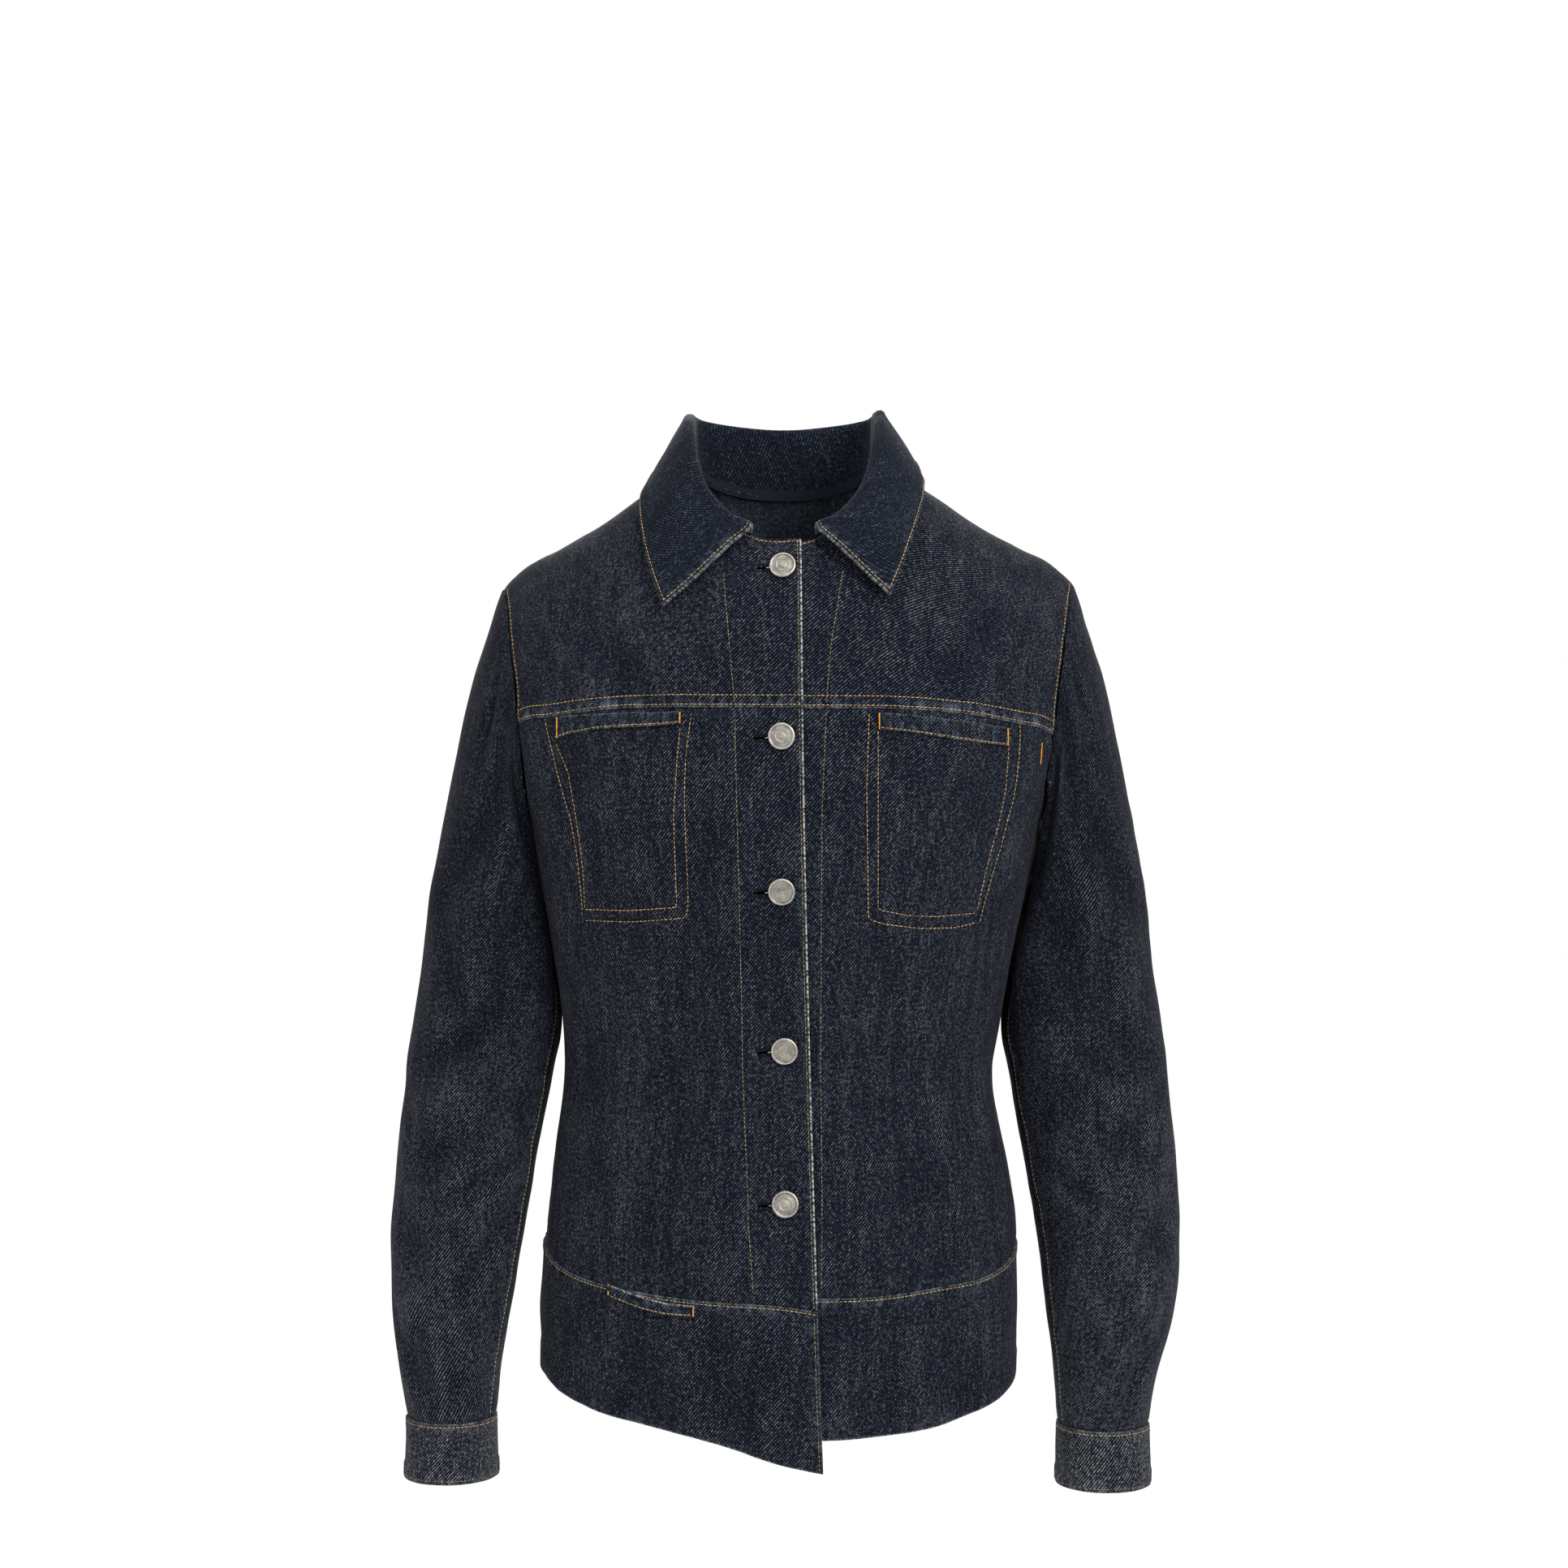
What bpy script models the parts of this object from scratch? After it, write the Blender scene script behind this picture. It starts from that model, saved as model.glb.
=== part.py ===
"""Denim jacket in the form it has when worn: fitted body, set-in two-piece sleeves, turned-down collar,
welt pockets and a hem band.

The origin lies midway between the two side neck points, where the jacket hangs on its wearer.
-Y is the front, +Z is up, and the wearer's right hand is on the -X side.
Every cloth piece is a thin wall under an outer surface that is worked out from the tables below.
"""
import math

import bmesh
import bpy
import numpy as np
from mathutils import Matrix, Vector
from mathutils.bvhtree import BVHTree

MM = 0.001
RIGHT = -1
LEFT = 1
SIDES = {"right": RIGHT, "left": LEFT}

# Cloth
SINGLE_WALL = 1.5 * MM
DOUBLE_WALL = 2.2 * MM
WELT_WALL = 1.2 * MM
SEAM_INSET = 0.2 * MM
LIE_GAP = 0.4 * MM
NORMAL_TURN = 0.004
NORMAL_RISE = 0.5 * MM
SHARP_EDGE = 40

# Body: the ring at each height, as half-widths to each side and depths to the front and the back
BODY_RINGS = np.array([
    # height, right, left, front, back
    (-680, 157, 151, 114, 112),
    (-640, 159, 152, 114, 112),
    (-590, 161, 153, 113, 111),
    (-545, 161, 154, 111, 108),
    (-500, 157, 153, 106, 103),
    (-450, 151, 146, 99, 95),
    (-405, 145, 138, 95, 90),
    (-365, 147, 144, 97, 91),
    (-300, 157, 156, 107, 98),
    (-235, 170, 170, 113, 106),
]) * MM
ARMPIT_Z = BODY_RINGS[-1, 0]
RING_ROUNDNESS = 0.75
# Above the armpit the surface closes over the shoulders, to a ridge from neck to shoulder tip
SHOULDER_RISE = 360 * MM
RISE_ROUNDNESS = 0.8
SHOULDER_REACH = {RIGHT: 197 * MM, LEFT: 203 * MM}
RIDGE = np.array([
    # share of the reach, height, depth
    (0.00, 10, 12),
    (0.20, 7, 11),
    (0.32, 0, 10),
    (0.46, -16, 8),
    (0.64, -41, 6),
    (0.76, -54.5, 5),
    (0.88, -67, 4),
    (0.95, -80, 4),
    (1.00, -92, 4),
]) * (1, MM, MM)
SHOULDER_TILT = 1.5 * MM
TIP_ANGLE = 72
SETTLE_STEPS = 6
ARMHOLE = np.array([
    # share from armpit to tip, front angle, back angle
    (0.000, 90.0, 90.0),
    (0.045, 78.0, 101.0),
    (0.130, 71.5, 106.0),
    (0.260, 67.5, 109.0),
    (0.500, 66.5, 110.5),
    (0.750, 68.5, 110.0),
    (1.000, TIP_ANGLE, 180 - TIP_ANGLE),
])

# Seams of the body
NECK_HALF = 58 * MM
FRONT_NECK_DROP = 55 * MM
BACK_NECK_DROP = 14 * MM
NECK_ROUNDNESS = 2.3
NECK_TRIALS = 400
COLLAR_START = 20 * MM
FRONT_EDGE = np.array([
    # height, over edge past the centre front
    (-660, 25.0),
    (-540, 21.0),
    (-420, 17.5),
    (-200, 12.5),
    (-40, 11.0),
]) * MM
UNDER_EDGE = -18 * MM
YOKE_SEAM = np.array([
    # share of the half-width, height right, height left
    (-0.20, -163, -163),
    (0.00, -163, -163),
    (0.35, -163, -164),
    (0.60, -165, -168),
    (0.80, -169, -174),
    (1.00, -174, -182),
]) * (1, MM, MM)
PRINCESS_SEAM = np.array([
    # height, right, left
    (-540, 147, 140),
    (-510, 150, 142),
    (-475, 149, 141),
    (-445, 143, 134),
    (-415, 136, 129),
    (-370, 129, 125),
    (-300, 129, 125),
    (-245, 135, 141),
    (-205, 146, 150),
    (-160, 156, 152),
]) * MM
BAND_SEAM = np.array([
    # angle from the centre front, height right, height left
    (-12, -547, -537),
    (0, -542, -537),
    (20, -539, -537),
    (40, -534, -533),
    (60, -527, -528),
    (90, -510, -512),
    (130, -506, -506),
    (180, -506, -506),
]) * (1, MM, MM)
HEM = np.array([
    # angle from the centre front, height right, height left
    (-12, -650, -627),
    (0, -642, -627),
    (20, -626, -626),
    (40, -617, -621),
    (60, -607, -612),
    (90, -592, -598),
    (130, -590, -594),
    (180, -592, -592),
]) * (1, MM, MM)
LAP_LIFT = 2.8 * MM
LAP_RAMP = (-62 * MM, -26 * MM)
BAND_START = 0.12
ARM_CROWDING = {"front": 1.6, "back": 1.5}
YOKE_TRIALS = 200

# Sleeves, one table for each, from the biceps to the wrist
SLEEVE_RINGS = {
    RIGHT: np.array([
        # height, outer side, inner side, half-depth, centre depth
        (-623, 246.5, 189, 39, -34),
        (-600, 251, 187, 41, -30),
        (-555, 257, 180, 44, -22),
        (-506, 259, 172, 47, -12),
        (-447, 256, 162, 50, -4),
        (-404, 251, 154.5, 52, 2),
        (-365, 246, 147, 54, 7),
        (-330, 241, 146, 57, 10),
        (-300, 236, 149, 59, 11),
    ]) * MM,
    LEFT: np.array([
        (-628, 238, 179.5, 39, -34),
        (-600, 243.5, 177.5, 41, -30),
        (-555, 257.5, 173, 44, -22),
        (-506, 261, 168, 47, -12),
        (-447, 259, 157, 50, -4),
        (-404, 255, 150, 52, 2),
        (-365, 251, 143, 54, 7),
        (-330, 246, 144, 57, 10),
        (-300, 241, 149, 59, 11),
    ]) * MM,
}
BICEPS_Z = SLEEVE_RINGS[RIGHT][-1, 0]
RING_ANGLES = {
    # ring angle of each named place of the armhole, from the outer side round by the front
    "back seam": -62, "tip": 0, "yoke": 126, "front seam": 160, "armpit": 186,
}
HEAD_CELLS = 8
ARM_CELLS = 15
# How a sleeve leaves the armhole and arrives at the biceps: direction and pull, and what low on the
# armhole adds to them
LEAVE_OUT = (0.32, 0.43)
LEAVE_FRONT = -0.30
LEAVE_UP = (-0.90, 0.25)
LEAVE_PULL = (150 * MM, -125 * MM)
ARRIVE = (0.16, -0.02, -0.98)
ARRIVE_PULL = (120 * MM, -75 * MM)
CLEARANCE_ROWS = 3
# Degrees from the outer side over which the sleeve begins to keep its clearance from the body
CLEARANCE_SPREAD = (30, 75)
SLEEVE_SEAM_INSET = 0.35 * MM
ARMHOLE_GAP = 0.7 * MM
ARMHOLE_REACH = 80 * MM
SLEEVE_CLEARANCE = 2.2 * MM
TREE_CELLS = 145

# Cuffs: a strip that laps over its own end at the back
CUFF_HEIGHT = 39 * MM
CUFF_PROUD = 0.9 * MM
CUFF_FLARE = 1.2 * MM
CUFF_GAP = 0.6 * MM
CUFF_END = -75
CUFF_LAP = 48
CUFF_CELLS = 30
CUFF_ROWS = 4
CUFF_RAMP = (0.9, 1.9)

# Collar
COLLAR_LIFT = 1.3 * MM
LEAF_LIFT = 3.8 * MM
FOLD_RADIUS = 3.2 * MM
FOLD_CELLS = 3
STAND_CELLS = 2
LEAF_CELLS = 6
COLLAR = {
    RIGHT: np.array([
        # share of the half collar, stand height, lean outwards, leaf edge across, depth, height
        (0.00, 3.0, 0.0, 76.5, -88, -99),
        (0.13, 6.0, 0.0, 83, -76, -80),
        (0.26, 13.0, 0.5, 87, -62, -62),
        (0.40, 22.5, 1.5, 89, -40, -38),
        (0.54, 27.5, 2.0, 85.5, -2, -14),
        (0.70, 34.5, 2.0, 79, 50, -24),
        (0.85, 39.5, 2.5, 48, 78, -28),
        (1.00, 40.5, 2.0, 0, 86, -29),
    ]) * (1, MM, MM, MM, MM, MM),
    LEFT: np.array([
        (0.00, 3.0, 0.0, 66.5, -88, -93),
        (0.13, 6.0, 0.0, 73, -76, -76),
        (0.26, 13.0, 0.5, 79, -62, -56),
        (0.40, 23.0, 1.0, 84.5, -40, -33),
        (0.54, 28.0, 1.5, 84, -2, -13),
        (0.70, 34.5, 2.0, 79, 50, -24),
        (0.85, 40.0, 2.5, 48, 78, -28),
        (1.00, 40.5, 2.0, 0, 86, -29),
    ]) * (1, MM, MM, MM, MM, MM),
}
LEAF_BULGE = 0.8 * MM
COLLAR_CENTRE = 0.6
OUTWARD_RISE = 0.6

# Pockets, as spans across the front and heights below the seam above them
CHEST_WELTS = {RIGHT: (68 * MM, 148 * MM), LEFT: (62 * MM, 145 * MM)}
CHEST_WELT_HEIGHT = 14 * MM
CHEST_WELT_TOP = 3 * MM
BAND_WELT = (56 * MM, 113 * MM)
BAND_WELT_HEIGHT = 9 * MM
BAND_WELT_TOP = 2.5 * MM
WELT_COLUMNS = 9
WELT_ROWS = 3

# Buttons: a turned cap with a raised rim on a short neck
BUTTON_PROFILE = np.array([
    # radius, height above the cloth
    (0.0, 0.0),
    (4.2, 0.0),
    (4.2, 1.4),
    (8.2, 1.4),
    (8.7, 2.2),
    (8.0, 3.3),
    (6.6, 3.0),
    (0.0, 3.0),
]) * MM
BUTTON_SIDES = 16
FRONT_BUTTONS = np.array([
    # across, height
    (-0.7, -72),
    (-1.5, -181),
    (-1.5, -279),
    (0.3, -381),
    (0.8, -478),
]) * MM
BUTTON_GAP = 0.35 * MM
CUFF_BUTTON_ANGLE = -88
CUFF_BUTTON_DROP = 20 * MM

# Number of cells along each seam; neighbours share them, so their edges match
NECK_LAP_CELLS = 2
NECK_SIDE_CELLS = 5
NECK_BACK_CELLS = 8
SHOULDER_CELLS = 6
YOKE_ARM_CELLS = 7
SIDE_ARM_CELLS = 5
BACK_ARM_CELLS = 8
PANEL_CELLS = 11
SIDE_TOP_CELLS = 2
YOKE_ROWS = YOKE_ARM_CELLS
PANEL_ROWS = 14
BACK_SEAM_CELLS = 9
BAND_ROWS = 4
FRONT_SEAM_SAMPLE = 3
BACK_SEAM_SAMPLE = 5

# Largest folds, as soft troughs: place across, height, half-length, half-width, turn in degrees, depth
BODY_FOLDS = np.array([
    # across, height, half-length, half-width, turn, depth
    (-112, -130, 62, 13, -32, 2.2),
    (120, -128, 60, 13, 30, 2.2),
    (-134, -205, 55, 10, -12, 2.0),
    (132, -215, 55, 10, 14, 2.0),
    (-70, -455, 75, 15, 6, 1.8),
    (84, -470, 80, 15, -6, 2.0),
    (-92, -600, 40, 13, 6, 2.4),
    (-30, -600, 45, 14, -8, 2.6),
    (62, -595, 40, 13, 4, 2.4),
    (112, -592, 38, 12, -6, 2.2),
    (-60, -330, 70, 14, 4, 1.4),
    (66, -325, 70, 14, -4, 1.4),
]) * (MM, MM, MM, MM, 1, MM)
SLEEVE_FOLDS = np.array([
    # ring angle, height, half-length, half-width, turn, depth
    (60, -268, 48, 12, 30, 2.6),
    (105, -320, 55, 13, 18, 2.8),
    (54, -395, 38, 12, 52, 2.4),
    (120, -420, 38, 11, -48, 3.0),
    (70, -452, 40, 12, 55, 2.8),
    (48, -500, 34, 12, -40, 2.2),
    (95, -545, 42, 12, 40, 2.4),
    (58, -592, 30, 10, -30, 2.2),
    (-70, -405, 40, 12, 50, 2.6),
    (-90, -455, 42, 12, -50, 2.6),
    (-52, -330, 50, 13, -20, 2.4),
    (-100, -560, 40, 12, 30, 2.2),
]) * (1, MM, MM, MM, 1, MM)

# A low ridge lies on each side of a trough: its share of the depth, and its place in half-widths
RIDGE_SHARE = 0.45
RIDGE_PLACE = 1.9
# A degree of the sleeve ring is this many millimetres of cloth
FOLD_SCALE = 0.85
FOLD_UNITS = np.array([MM * FOLD_SCALE, 1, 1, 1, 1, 1])
SLEEVE_FOLD_FADE = (-628 * MM, -600 * MM)

# Finishes: colour, metallic, roughness
FINISHES = {
    "denim": ((0.016, 0.022, 0.040, 1), 0.0, 0.9),
    "collar_denim": ((0.012, 0.018, 0.038, 1), 0.0, 0.9),
    "metal": ((0.55, 0.54, 0.51, 1), 1.0, 0.38),
}


def through(at, places, values):
    """Smooth curve through a short table: cubic pieces whose slopes come from the neighbouring rows."""
    at = np.clip(np.asarray(at, float), places[0], places[-1])
    slopes = np.gradient(values, places)
    row = np.clip(np.searchsorted(places, at) - 1, 0, len(places) - 2)
    span = places[row + 1] - places[row]
    t = (at - places[row]) / span
    start = (1 + 2 * t) * (1 - t) ** 2 * values[row] + t * (1 - t) ** 2 * slopes[row] * span
    end = t * t * (3 - 2 * t) * values[row + 1] + t * t * (t - 1) * slopes[row + 1] * span
    return start + end


def soft_step(value, low, high):
    """0 below low, 1 above high, with level ends."""
    t = np.clip((value - low) / (high - low), 0, 1)
    return t * t * (3 - 2 * t)


def troughs(across, height, folds):
    """Depth of the folds at places of a surface: each is a long bell across its own turned axis."""
    depth = np.zeros(np.shape(across))
    for place, level, half_length, half_width, turn, deep in folds:
        cosine = math.cos(math.radians(turn))
        sine = math.sin(math.radians(turn))
        along = (height - level) * cosine + (across - place) * sine
        beside = (across - place) * cosine - (height - level) * sine
        ridges = RIDGE_SHARE * np.exp(-((np.abs(beside) / half_width - RIDGE_PLACE) ** 2))
        bell = np.exp(-(beside / half_width) ** 2) - ridges
        depth = depth + deep * bell * np.exp(-(along / half_length) ** 2)
    return depth


# --- body surface -------------------------------------------------------------------------------------------

def half_width(side_sign, height):
    """Half-width of the body ring towards +X where side_sign is positive, else towards -X."""
    right = through(height, BODY_RINGS[:, 0], BODY_RINGS[:, 1])
    left = through(height, BODY_RINGS[:, 0], BODY_RINGS[:, 2])
    return np.where(side_sign > 0, left, right)


def body(angle, level):
    """Outer surface of the body. The angle (radians) runs from the centre front to the wearer's left.

    Up to level 0, the armpit line, the level is the height above it and the ring is x = a sin(angle),
    y = b |cos(angle)| ** roundness. Above it each column bends over to the shoulder ridge on a quarter
    turn: its height goes with the sine of the turn, its depth with a power of the cosine.
    """
    angle, level = np.broadcast_arrays(np.asarray(angle, float), np.asarray(level, float))
    turn = np.clip(level, 0, SHOULDER_RISE) / SHOULDER_RISE * math.pi / 2
    rise = np.sin(turn)
    low_height = ARMPIT_Z + np.minimum(level, 0)
    reach = np.where(np.sin(angle) > 0, SHOULDER_REACH[LEFT], SHOULDER_REACH[RIGHT])
    width = half_width(np.sin(angle), low_height)
    width = width + (reach - width) * (1 - (1 - rise) ** 2)
    x = width * np.sin(angle)
    front = through(low_height, BODY_RINGS[:, 0], BODY_RINGS[:, 3])
    back = through(low_height, BODY_RINGS[:, 0], BODY_RINGS[:, 4])
    ring_y = np.where(np.cos(angle) > 0, -front, back) * np.abs(np.cos(angle)) ** RING_ROUNDNESS
    share = np.abs(x) / reach
    ridge_z = through(share, RIDGE[:, 0], RIDGE[:, 1]) + SHOULDER_TILT * share * np.sign(x)
    ridge_y = through(share, RIDGE[:, 0], RIDGE[:, 2])
    bent = np.abs(np.cos(turn)) ** RISE_ROUNDNESS
    y = ridge_y * (1 - bent) + ring_y * bent
    z = low_height + (ridge_z - ARMPIT_Z) * rise
    points = np.stack([x, y, z], -1)
    front_side = np.cos(angle) > 0
    sink = np.where(front_side, troughs(x, z, BODY_FOLDS), troughs(x, z, BODY_FOLDS * (-1, 1, 1, 1, -1, 1)))
    inward = np.stack([-np.sin(angle), np.cos(angle), np.zeros_like(x)], -1)
    return points + inward * (sink * (1 - rise ** 4))[..., None]


def level_at(angle, height):
    """Level of the surface at which a column reaches a height."""
    low = height - ARMPIT_Z
    level = np.broadcast_to(low, np.broadcast(angle, height).shape).astype(float)
    for _ in range(SETTLE_STEPS):
        ridge_z = body(angle, SHOULDER_RISE * np.ones_like(level))[..., 2]
        share = np.clip((height - ARMPIT_Z) / (ridge_z - ARMPIT_Z), 0, 1)
        level = np.where(low > 0, np.arcsin(share) / (math.pi / 2) * SHOULDER_RISE, low)
    return level


def angle_at(x, level, front=True):
    """Angle of the surface at which a level reaches a place across."""
    edge = body(np.where(np.asarray(x) > 0, 1, -1) * math.pi / 2, level)[..., 0]
    angle = np.arcsin(np.clip(x / np.abs(edge), -1, 1))
    return angle if front else math.pi - angle


def lap_lift(x):
    """How far the right front stands off where it laps over the left front."""
    return LAP_LIFT * soft_step(x, *LAP_RAMP)


# --- seam lines, in angle and level --------------------------------------------------------------------------

def pair(angle, level):
    angle, level = np.broadcast_arrays(angle, level)
    return np.stack([angle, level], -1).astype(float)


def neck_pair(x, back=False):
    """Point of the neckline at a place across."""
    drop = BACK_NECK_DROP if back else FRONT_NECK_DROP
    share = np.clip(1 - (np.abs(x) / NECK_HALF) ** NECK_ROUNDNESS, 0, 1)
    height_share = 1 - share ** (1 / NECK_ROUNDNESS)
    ridge = through(np.abs(x) / SHOULDER_REACH[LEFT], RIDGE[:, 0], RIDGE[:, 1])
    height = -drop + (drop + ridge) * height_share
    level = np.where(share > 0, 0.0, SHOULDER_RISE)
    angle = np.asarray(x) * 0.0
    for _ in range(SETTLE_STEPS):
        angle = angle_at(x, level, not back)
        level = np.where(share > 0, level_at(angle, height), SHOULDER_RISE)
    return pair(angle, level)


def even_neck(start, end, cells, back=False):
    """Neckline points at even lengths between two places across."""
    turn = np.linspace(math.asin(start / NECK_HALF), math.asin(end / NECK_HALF), NECK_TRIALS)
    trial = neck_pair(NECK_HALF * np.sin(turn), back)
    steps = np.linalg.norm(np.diff(body(trial[:, 0], trial[:, 1]), axis=0), axis=-1)
    length = np.concatenate([[0], np.cumsum(steps)])
    even = np.interp(np.linspace(0, length[-1], cells + 1), length, turn)
    return neck_pair(NECK_HALF * np.sin(even), back)


def neck_line(side):
    """Neckline samples of a front, from its front edge to the shoulder seam."""
    edge = FRONT_EDGE[-1, 1] if side == RIGHT else UNDER_EDGE
    lap = neck_pair(np.linspace(edge, side * COLLAR_START, NECK_LAP_CELLS + 1))
    return np.concatenate([lap[:-1], even_neck(side * COLLAR_START, side * NECK_HALF, NECK_SIDE_CELLS)])


def shoulder_line(side):
    """Shoulder seam samples, from the neck to the tip."""
    start = neck_pair(np.array([side * NECK_HALF]))[0, 0]
    return pair(np.linspace(start, side * math.radians(TIP_ANGLE), SHOULDER_CELLS + 1), SHOULDER_RISE)


def armhole(share, side, back=False):
    column = 2 if back else 1
    angle = through(share, ARMHOLE[:, 0], np.radians(ARMHOLE[:, column]))
    return pair(side * angle, share * SHOULDER_RISE)


def yoke_height(side, angle):
    share = np.abs(np.sin(angle)) * np.sign(np.sin(angle) * side)
    column = 1 if side == RIGHT else 2
    return through(share, YOKE_SEAM[:, 0], YOKE_SEAM[:, column])


def yoke_share(side):
    """Share of the armhole at which the yoke seam meets it."""
    shares = np.linspace(ARMHOLE[1, 0], ARMHOLE[5, 0], YOKE_TRIALS)
    line = armhole(shares, side)
    gap = body(line[:, 0], line[:, 1])[:, 2] - yoke_height(side, line[:, 0])
    return float(np.interp(0, gap, shares))


def armhole_shares(side):
    """Samples of the front armhole below and above the yoke seam, and of the back armhole."""
    meet = yoke_share(side)
    below = meet * np.linspace(0, 1, SIDE_ARM_CELLS + 1) ** ARM_CROWDING["front"]
    above = np.linspace(meet, 1, YOKE_ARM_CELLS + 1)
    back = np.linspace(0, 1, BACK_ARM_CELLS + 1) ** ARM_CROWDING["back"]
    return below, above, back


def princess_x(side, height):
    column = 1 if side == RIGHT else 2
    return side * through(height, PRINCESS_SEAM[:, 0], PRINCESS_SEAM[:, column])


def princess_line(side, rows):
    """Seam between centre front and side front, from the band to the yoke."""
    angle = side * math.radians(60)
    low = band_height(side, angle)
    top = yoke_height(side, angle)
    for _ in range(SETTLE_STEPS):
        heights = np.linspace(low, top, rows + 1)
        levels = level_at(np.full(rows + 1, angle), heights)
        angles = angle_at(princess_x(side, heights), levels)
        for _ in range(SETTLE_STEPS):
            levels = level_at(angles, heights)
            angles = angle_at(princess_x(side, heights), levels)
        low = band_height(side, angles[0])
        top = yoke_height(side, angles[-1])
    return pair(angles, levels)


def band_height(side, angle):
    column = 1 if side == RIGHT else 2
    return through(side * np.degrees(angle), BAND_SEAM[:, 0], BAND_SEAM[:, column])


def hem_height(side, angle):
    column = 1 if side == RIGHT else 2
    return through(side * np.degrees(angle), HEM[:, 0], HEM[:, column])


def edge_x(side, height):
    over = through(height, FRONT_EDGE[:, 0], FRONT_EDGE[:, 1])
    return over if side == RIGHT else np.full(np.shape(height), UNDER_EDGE)


def edge_line(side, low, high, rows):
    """Front edge between two heights."""
    heights = np.linspace(low, high, rows + 1)
    levels = level_at(np.zeros(rows + 1), heights)
    for _ in range(SETTLE_STEPS):
        angles = angle_at(edge_x(side, heights), levels)
        levels = level_at(angles, heights)
    return pair(angles, levels)


def seam_between(start, end, cells, height_of, side):
    """Samples of a seam from one angle to another, at the height that the seam has there."""
    angles = np.linspace(start, end, cells + 1)
    return pair(angles, level_at(angles, height_of(side, angles)))


# --- patches and walls ---------------------------------------------------------------------------------------

def patch(bottom, top, start, end, rise=None):
    """Coons patch in angle and level: blends the four edges. Rows run from bottom to top."""
    across = np.linspace(0, 1, len(bottom))[None, :, None]
    up = (np.linspace(0, 1, len(start)) if rise is None else rise)[:, None, None]
    ruled = (1 - up) * bottom[None] + up * top[None] + (1 - across) * start[:, None] + across * end[:, None]
    corners = (1 - up) * ((1 - across) * bottom[0] + across * bottom[-1])
    corners = corners + up * ((1 - across) * top[0] + across * top[-1])
    return ruled - corners


def normals_of(grid, outward):
    """Unit normals of a grid of points, on the side that the outward vectors point to."""
    along = np.gradient(grid, axis=1)
    up = np.gradient(grid, axis=0)
    normal = np.cross(along, up)
    normal = normal / np.maximum(np.linalg.norm(normal, axis=-1, keepdims=True), 1e-12)
    return normal if np.sum(normal * outward) > 0 else -normal


def inset(grid, amounts):
    """Moves the four edges of a grid in by their amounts: bottom, top, start, end."""
    grid = grid.copy()
    bottom, top, start, end = amounts
    old = grid.copy()
    for rows, neighbour, amount in ((0, 1, bottom), (-1, -2, top)):
        step = old[neighbour] - old[rows]
        grid[rows] += step / np.linalg.norm(step, axis=-1, keepdims=True) * amount
    for column, neighbour, amount in ((0, 1, start), (-1, -2, end)):
        step = old[:, neighbour] - old[:, column]
        grid[:, column] += step / np.linalg.norm(step, axis=-1, keepdims=True) * amount
    return grid


def make_object(name, points, faces, finish):
    mesh = bpy.data.meshes.new(name)
    mesh.from_pydata([tuple(p) for p in points], [], faces)
    tidy = bmesh.new()
    tidy.from_mesh(mesh)
    bmesh.ops.recalc_face_normals(tidy, faces=tidy.faces)
    if tidy.calc_volume(signed=True) < 0:
        bmesh.ops.reverse_faces(tidy, faces=tidy.faces)
    tidy.to_mesh(mesh)
    tidy.free()
    mesh.shade_smooth()
    mesh.set_sharp_from_angle(angle=math.radians(SHARP_EDGE))
    mesh.materials.append(material(finish))
    piece = bpy.data.objects.new(name, mesh)
    bpy.context.collection.objects.link(piece)
    return piece


def material(finish):
    found = bpy.data.materials.get(finish)
    if found:
        return found
    colour, metallic, roughness = FINISHES[finish]
    made = bpy.data.materials.new(finish)
    made.use_nodes = True
    shader = made.node_tree.nodes["Principled BSDF"]
    shader.inputs["Base Color"].default_value = colour
    shader.inputs["Metallic"].default_value = metallic
    shader.inputs["Roughness"].default_value = roughness
    return made


def wall(name, outer, inner, finish):
    """Closed wall between two grids of the same size, with a rim round its four edges."""
    rows, columns = outer.shape[:2]
    index = np.arange(rows * columns).reshape(rows, columns)
    a, b, c, d = index[:-1, :-1], index[:-1, 1:], index[1:, 1:], index[1:, :-1]
    # both sheets split each cell along its shorter diagonal, so the wall keeps its thickness
    first = np.linalg.norm(outer[:-1, :-1] - outer[1:, 1:], axis=-1)
    second = np.linalg.norm(outer[:-1, 1:] - outer[1:, :-1], axis=-1)
    split = (first <= second)[..., None]
    one = np.where(split, np.stack([a, b, c], -1), np.stack([a, b, d], -1)).reshape(-1, 3)
    two = np.where(split, np.stack([a, c, d], -1), np.stack([b, c, d], -1)).reshape(-1, 3)
    top = np.concatenate([one, two])
    faces = top.tolist() + (top[:, ::-1] + rows * columns).tolist()
    loop = np.concatenate([index[0, :-1], index[:-1, -1], index[-1, :0:-1], index[:0:-1, 0]])
    for here, after in zip(loop, np.roll(loop, -1)):
        faces.append((int(here), int(here) + rows * columns, int(after) + rows * columns, int(after)))
    points = np.concatenate([outer.reshape(-1, 3), inner.reshape(-1, 3)])
    return make_object(name, points, faces, finish)


def body_normal(angle, level):
    """Outward unit normal of the body surface, from small steps to both sides."""
    round_step = body(angle + NORMAL_TURN, level) - body(angle - NORMAL_TURN, level)
    up_step = body(angle, level + NORMAL_RISE) - body(angle, level - NORMAL_RISE)
    normal = np.cross(round_step, up_step)
    return normal / np.linalg.norm(normal, axis=-1, keepdims=True)


def body_grid(domain, laps):
    """Points and normals of a body piece; the right front is lifted where it laps over."""
    grid = body(domain[..., 0], domain[..., 1])
    normal = body_normal(domain[..., 0], domain[..., 1])
    if laps:
        grid = grid + normal * lap_lift(grid[..., 0])[..., None]
    return grid, normal


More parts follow.
